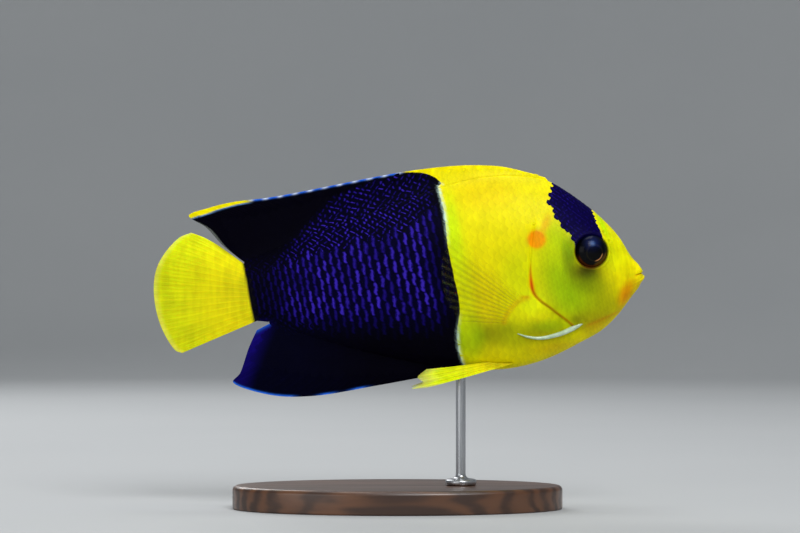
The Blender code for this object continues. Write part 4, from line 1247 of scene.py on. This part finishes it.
clear_fin = ray_material("clear_fin", PECTORAL_RAYS, 0.1, 0.12, cover=clear_cover, Specular_IOR_Level=0.12,
                         Coat_Weight=0.02, Coat_Roughness=0.3, Subsurface_Weight=0.2, Subsurface_Scale=0.001)
off_skin, thickness = curves(PECTORAL_SECTION)
for side, name in SIDES:
    fan_places = fin_grid(curves(PECTORAL_ROOT), curves(PECTORAL_TIPS), PECTORAL_RAYS, 40, 14)
    fan_s, fan_h, fan_ray, fan_out = fan_places
    middle = skin_at(fan_s, fan_h) + off_skin(fan_out)
    half = thickness(fan_out) * (0.7 + 0.45 * ray_ridges(fan_ray, fan_out, 0) * ease((fan_out - 0.05) / 0.2))
    fan, _ = fin_sheet(f"pectoral_fan_{name}", fan_places, side * middle, half, PECTORAL_RAYS)
    lobe = both(1 - ease(fan_out / 0.16))
    fan_paint = mix(linear(164, 122, 6), linear(80, 82, 16), both(ease((fan_out - 0.3) / 0.5)))
    give_values(fan, paint=mix(fan_paint, linear(236, 222, 1), lobe), body=0.1 * lobe)
    show(fan, clear_fin, "clear_fin", f"pectoral_fin_{name}")


# %% Pelvic fins
PELVIC_ROOT = ((0, 33.0, 3.4), (1, 40.0, 4.0))
PELVIC_TIPS = ((0, 55.0, -28.9, 7.2), (0.22, 58.9, -29.2, 6.9), (0.5, 56.0, -27.7, 6.4),
               (0.76, 57.4, -26.3, 6.0), (1, 55.2, -24.3, 5.4))
PELVIC_RAYS = 6
PELVIC_BOW = 0.15
PELVIC_SUNK = 0.45
pelvic_s, pelvic_y = curves(PELVIC_ROOT)
pelvic_tips = curves(PELVIC_TIPS)


def belly_at(behind, aside):
    """The height of the belly's skin at a distance aside of the middle plane."""
    ridge, full = belly_ridge(behind), flank_line(behind)
    shape = np.clip((aside - ridge) / (full - ridge), 0, 1)
    return height_at(behind, -(1 - shape ** (1 / belly_wedge(behind))) ** (1 / FLANK_FULLNESS))


pelvic_finish = ray_material("pelvic_fin", PELVIC_RAYS, 0.16, relief=0.5, cover=stored_cover,
                             Subsurface_Weight=0.2, **YELLOW_FIN)
pelvic_start = (pelvic_s, lambda t: belly_at(pelvic_s(t), pelvic_y(t)) - PELVIC_SUNK)
for side, name in SIDES:
    blade_s, blade_h, blade_ray, blade_out = fin_grid(pelvic_start, pelvic_tips, PELVIC_RAYS, 44, 16)
    blade_h = blade_h - PELVIC_BOW * np.sin(np.pi * blade_out)
    share = blade_ray / (PELVIC_RAYS - 1)
    middle = pelvic_y(share) + (pelvic_tips[2](share) - pelvic_y(share)) * blade_out
    thin = ease((blade_out - 0.7) / 0.3)
    half = (0.14 + 0.4 * (1 - ease(blade_out * 2.5))) * (1 - 0.6 * thin)
    half = half + 0.13 * ray_ridges(blade_ray, blade_out, 1) * (1 - 0.7 * thin)
    blade_places = (blade_s, blade_h, blade_ray, blade_out)
    blade, _ = fin_sheet(f"pelvic_blade_{name}", blade_places, side * middle, half, PELVIC_RAYS)
    far = both(blade_out)
    blade_paint = mix(mix(linear(216, 202, 4), YELLOW, ease(far / 0.35)), LEMON, ease(far / 0.8))
    give_values(blade, paint=mix(blade_paint, PALE_YELLOW, 0.5 * ease((far - 0.7) / 0.3)),
                body=1 - 0.65 * ease((far - 0.78) / 0.22))
    show(blade, pelvic_finish, "yellow_fin", f"pelvic_fin_{name}")

# %% [markdown]
# ## Eyes
#
# The eye is a glossy dome, dark blue-black, with a black pupil set a little forward over a short copper
# crescent. It is turned as a shape of revolution and faced outwards and a little forward in its socket. A
# clear coat gives the wet shine, and layers of colour are laid on a map of the dome as seen from its front,
# with a blue highlight painted above the pupil.

# %% Eyes
EYE_FORWARD = np.radians(11)
PUPIL_AHEAD, PUPIL_DOWN = 0.3, 0.35
GAZE_SIZE = 10.0


def eye_dome(side):
    """Rings of an ellipsoid round its facing axis: radius R sin(t), depth D cos(t)."""
    t = np.linspace(0.02, 2.2, 44)[:, None]
    turn = np.linspace(0, 2 * np.pi, 72, endpoint=False)[None]
    ahead = EYE_RADIUS * np.sin(t) * np.cos(turn)
    high = EYE_RADIUS * np.sin(t) * np.sin(turn)
    deep = EYE_DEPTH * np.cos(t) + 0 * turn
    middle = skin_at(EYE_BACK, EYE_UP) + EYE_PROUD - EYE_DEPTH
    forward = ahead * np.cos(EYE_FORWARD) + deep * np.sin(EYE_FORWARD)
    outward = deep * np.cos(EYE_FORWARD) - ahead * np.sin(EYE_FORWARD)
    return place(EYE_BACK - forward, EYE_UP + high, side * (middle + outward)), np.stack([ahead, high], -1)


eye_finish, tree, shader = new_material("eye_gloss", Coat_Weight=0.14, Coat_Roughness=0.13, Roughness=0.4,
                                        Specular_IOR_Level=0.03)
gaze_u, gaze_v = map_parts(tree, "gaze")


def from_point(ahead, above):
    """Distance over the dome's map from a point ahead of and above its middle, in millimetres."""
    u, v = gaze_u - (0.5 + ahead / GAZE_SIZE), gaze_v - (0.5 + above / GAZE_SIZE)
    return (u * u + v * v).math("SQRT") * GAZE_SIZE


# The last distance is from the centre of a painted blue highlight, above the pupil.
middle, pupil, from_painted_highlight = from_point(0, 0), from_point(PUPIL_AHEAD, -PUPIL_DOWN), from_point(-0.25, 2.0)
above = gaze_v - (0.5 - PUPIL_DOWN / GAZE_SIZE)
below = (gaze_u - (0.5 + PUPIL_AHEAD / GAZE_SIZE) - above) * GAZE_SIZE
ball = linear(2, 3, 5)
crescent = pupil.step(1.82, 1.98) * pupil.step(2.05, 2.25, 1.0, 0.0)
# Each layer is a cover and its colour: a painted blue highlight, a wide halo and then its pale core, the
# pupil, its hoop, gold, crescent and low rim.
layers = (
    (from_painted_highlight.step(0.3, 3.0, 0.8, 0.0), (12, 26, 78)),
    (from_painted_highlight.step(0.0, 1.1, 0.75, 0.0), (58, 100, 166)),
    (pupil.step(1.5, 1.85, 0.65, 0.0), (0, 0, 0)),
    (pupil.step(1.85, 2.0) * pupil.step(2.05, 2.3, 0.16, 0.0), (66, 58, 30)),
    (below.step(2.4, 3.8) * pupil.step(2.05, 2.5) * middle.step(3.5, 3.9, 0.65, 0.0), (96, 68, 8)),
    (below.step(2.0, 2.6, 0.0, 0.9) * crescent, (196, 134, 78)),
    (middle.step(3.35, 3.7, 0.0, 0.7) * above.step(0.0, -0.25), (98, 48, 14)),
)
for cover, colour in layers:
    ball = blend(cover, ball, linear(*colour))
finish_with(shader, mottled(ball, 0.4)[0])
for side, name in SIDES:
    rings, flat = eye_dome(side)
    eye, _ = tube_mesh(f"eye_dome_{name}", rings)
    give_map(eye, "gaze", np.concatenate([flat.reshape(-1, 2), np.zeros((2, 2))]) / GAZE_SIZE + 0.5)
    show(eye, eye_finish, "eye", f"eye_{name}")

# %% [markdown]
# ## The cheek spines
#
# Each gill cover carries one strong, pearly spine that sweeps back under the cheek. It is a tube along a
# smooth path that keeps to the skin, thick at its root and drawn out to a point.

# %% Cheek spines
CHEEK_SPINE = ((0, 14.6, -12.0, 0.65), (0.2, 17.8, -13.8, 0.66), (0.4, 21.5, -15.4, 0.6),
               (0.6, 25.8, -16.4, 0.45), (0.8, 29.2, -16.2, 0.3), (1, 32.2, -15.3, 0.12))
pearl, tree, shader = new_material("pearl_spine", Coat_Weight=0.6, Coat_Roughness=0.15)
glassy = blend(noise_of(tree, 500.0, 3.0, (1, 1, 3)), linear(134, 170, 116), linear(222, 238, 214))
finish_with(shader, *mottled(glassy, 0.2), 0.03)
for side, name in SIDES:
    t = np.linspace(0, 1, 60)
    s, h, radius = (curve(t) for curve in curves(CHEEK_SPINE))
    radius = radius * (0.35 + 0.6 * ease(t / 0.25))
    path = np.stack([s, h, skin_at(s, h) + 0.5 * radius - COAT - 0.5 * (1 - ease(t / 0.15))], -1)
    tangent = np.gradient(path, axis=0)
    tangent /= np.linalg.norm(tangent, axis=1, keepdims=True)
    across = np.cross(tangent, (0, 0, 1.0))
    across /= np.linalg.norm(across, axis=1, keepdims=True)
    proud = np.cross(across, tangent)
    turn = np.linspace(0, 2 * np.pi, 20, endpoint=False)[None, :, None]
    ring = path[:, None] + radius[:, None, None] * (np.cos(turn) * across[:, None]
                                                    + 0.8 * np.sin(turn) * proud[:, None])
    spine, _ = tube_mesh(f"cheek_spine_{name}", place(ring[..., 0], ring[..., 1], side * ring[..., 2]))
    show(spine, pearl, "yellow_skin")

# %% [markdown]
# ## The stand
#
# The base is an oval of dark-stained wood with a softly rounded edge, and the rod is satin steel with a small
# turned foot. Both are profiles carried round an axis.

# %% Stand
BASE_LENGTH, BASE_WIDTH, BASE_HEIGHT, BASE_BEVEL, UNDER_BEVEL = 84.0, 46.0, 6.0, 1.2, 0.5
ROD_RADIUS, ROD_BACK, FOOT_RADIUS, FOOT_HEIGHT, FOOT_BEVEL, FOOT_HOLLOW = 1.25, 46.4, 4.0, 1.8, 0.6, 1.1


def turned(profile, turns, centre, stretch=(0, 0)):
    """A profile of (distance inwards or radius, height) carried round an upright axis, in millimetres."""
    turn = np.linspace(0, 2 * np.pi, turns, endpoint=False)[None]
    radius, height = profile[:, :1], profile[:, 1:]
    x = centre[0] + (stretch[0] + radius) * np.cos(turn)
    y = centre[1] + (stretch[1] + radius) * np.sin(turn)
    return MM * np.stack([x, y, height + 0 * x], -1)


arc = np.linspace(0, np.pi / 2, 9)
base_profile = np.concatenate([
    np.stack([np.linspace(-22, -1, 6), np.zeros(6)], -1),
    np.stack([UNDER_BEVEL * (np.sin(arc) - 1), UNDER_BEVEL * (1 - np.cos(arc))], -1),
    np.stack([BASE_BEVEL * (np.cos(arc) - 1), BASE_HEIGHT - BASE_BEVEL * (1 - np.sin(arc))], -1),
    np.stack([np.linspace(-4, -22, 8), np.full(8, BASE_HEIGHT)], -1)])
base, _ = tube_mesh("oval_base", turned(base_profile, 160, (0, 0), (BASE_LENGTH / 2, BASE_WIDTH / 2)))
wood, tree, shader = new_material("stained_wood", Coat_Weight=0.35, Coat_Roughness=0.25)
waves = {0: own_places(tree, (0.1, 1, 1)), "Scale": 95.0, "Distortion": 9.0, "Detail": 3.0}
waves["Detail Scale"] = 1.2
grain = Wire(add_node(tree, "ShaderNodeTexWave", waves, wave_type="BANDS", bands_direction="Y").outputs[1])
streaky = noise_of(tree, 160.0, 4.0, (0.12, 1.6, 1.6)) * 0.6 + grain * 0.4
tone = blend(streaky.step(0.25, 0.75), linear(58, 34, 20), linear(104, 66, 40))
wander = noise_of(tree, 28.0, 2.0, (0.5, 1.4, 1.4)).step(0.35, 0.75, 0.0, 0.4)
tone = blend(wander, tone, linear(44, 26, 16))
finish_with(shader, tone, streaky.step(0.2, 0.8, 0.42, 0.3), streaky, 0.06, 0.35)
show(base, wood, "base", "stand_base")

rod_top = MOUTH_HEIGHT + float(belly_line(ROD_BACK)) + 0.8
foot_low = BASE_HEIGHT + 0.05
foot_top = foot_low + FOOT_HEIGHT
arc = np.linspace(0, np.pi / 2, 7)
foot_profile = np.concatenate([
    np.array([[FOOT_RADIUS - 0.3, foot_low], [FOOT_RADIUS, foot_low + 0.3]]),
    np.stack([FOOT_RADIUS - FOOT_BEVEL * (1 - np.cos(arc)), foot_top - 0.9 + FOOT_BEVEL * np.sin(arc)], -1),
    np.stack([ROD_RADIUS + FOOT_HOLLOW * (1 - np.sin(arc)), foot_top + 1.0 - FOOT_HOLLOW * np.cos(arc)], -1),
    np.stack([np.full(24, ROD_RADIUS), np.linspace(foot_top + 1.3, rod_top, 24)], -1)])
rod, _ = tube_mesh("steel_rod", turned(foot_profile, 48, (TOTAL_LENGTH / 2 - ROD_BACK, 0)))
steel, tree, shader = new_material("satin_steel", Metallic=1.0)
brushed = noise_of(tree, 3000.0, 2.0, (1, 1, 0.03))
tone = blend(brushed, linear(150, 152, 156), linear(205, 207, 210))
finish_with(shader, tone, brushed.step(0.3, 0.7, 0.24, 0.4), brushed, 0.01, 0.3)
show(rod, steel, "rod", "stand_rod")

# %% [markdown]
# ## Floor and light
#
# The fish stands in a wide pale bowl, whose floor curves up into a wall all round, so that every side is seen
# against the same plain ground. Large soft lamps stand above, in front and behind, so that the shadows are
# gentle and the wet surfaces still catch a shine.

# %% Floor
BOWL_RADIUS, BOWL_BEND, BOWL_HEIGHT, BOWL_TURNS = 1.35, 0.45, 1.0, 128
bend = np.linspace(0, np.pi / 2, 24)
run = np.concatenate([[0.1, 0.5], BOWL_RADIUS - BOWL_BEND * (1 - np.sin(bend)), [BOWL_RADIUS]])[:, None]
rise = np.concatenate([[0.0, 0.0], BOWL_BEND * (1 - np.cos(bend)), [BOWL_HEIGHT]])[:, None]
turn = np.linspace(0, 2 * np.pi, BOWL_TURNS, endpoint=False)[None]
bowl = np.stack([run * np.cos(turn), run * np.sin(turn), rise + 0 * turn], -1).reshape(-1, 3)
bowl = np.concatenate([bowl, np.zeros((1, 3))])
bowl_quads = np.concatenate([grid_quads(len(run), BOWL_TURNS, around=True)[:, [1, 0, 3, 2]],
                             cap_quads(np.arange(BOWL_TURNS), len(bowl) - 1, True)])
floor = make_mesh("studio_bowl", bowl, bowl_quads, closed=False)
paper, tree, shader = new_material("pale_paper", Roughness=0.85)
tone = blend(noise_of(tree, 6.0), linear(178, 181, 183), linear(186, 188, 189))
finish_with(shader, tone, None, noise_of(tree, 700.0, 2.0), 0.05, 0.2)
link(floor)
floor.data.materials.append(paper)


# %% Lamps
def soft_lamp(name, place_at, aim_height, size, power):
    """A square area lamp that faces a point over the middle of the floor."""
    data = bpy.data.lights.new(name, "AREA")
    data.size, data.energy = size, power
    lamp = bpy.data.objects.new(name, data)
    lamp.location = place_at
    x, y, z = np.array((0, 0, aim_height)) - np.array(place_at)
    lamp.rotation_euler = (np.pi / 2 + np.arctan2(z, np.hypot(x, y)), 0, np.arctan2(-x, y))
    link(lamp)


soft_lamp("key_lamp", (0.25, -0.75, 0.75), 0.06, 0.5, 6.9)
soft_lamp("fill_lamp", (-0.6, -0.7, 0.2), 0.06, 0.6, 1.7)
soft_lamp("top_lamp", (0.0, 0.1, 0.9), 0.06, 0.5, 2.8)
soft_lamp("back_lamp", (-0.3, 0.6, 0.5), 0.07, 0.4, 2.2)
world = bpy.data.worlds.new("studio")
world.use_nodes = True
world.node_tree.nodes["Background"].inputs[0].default_value = (0.9, 0.95, 1.0, 1)
world.node_tree.nodes["Background"].inputs[1].default_value = 0.28
bpy.context.scene.world = world
bpy.context.scene.view_settings.view_transform = "Standard"
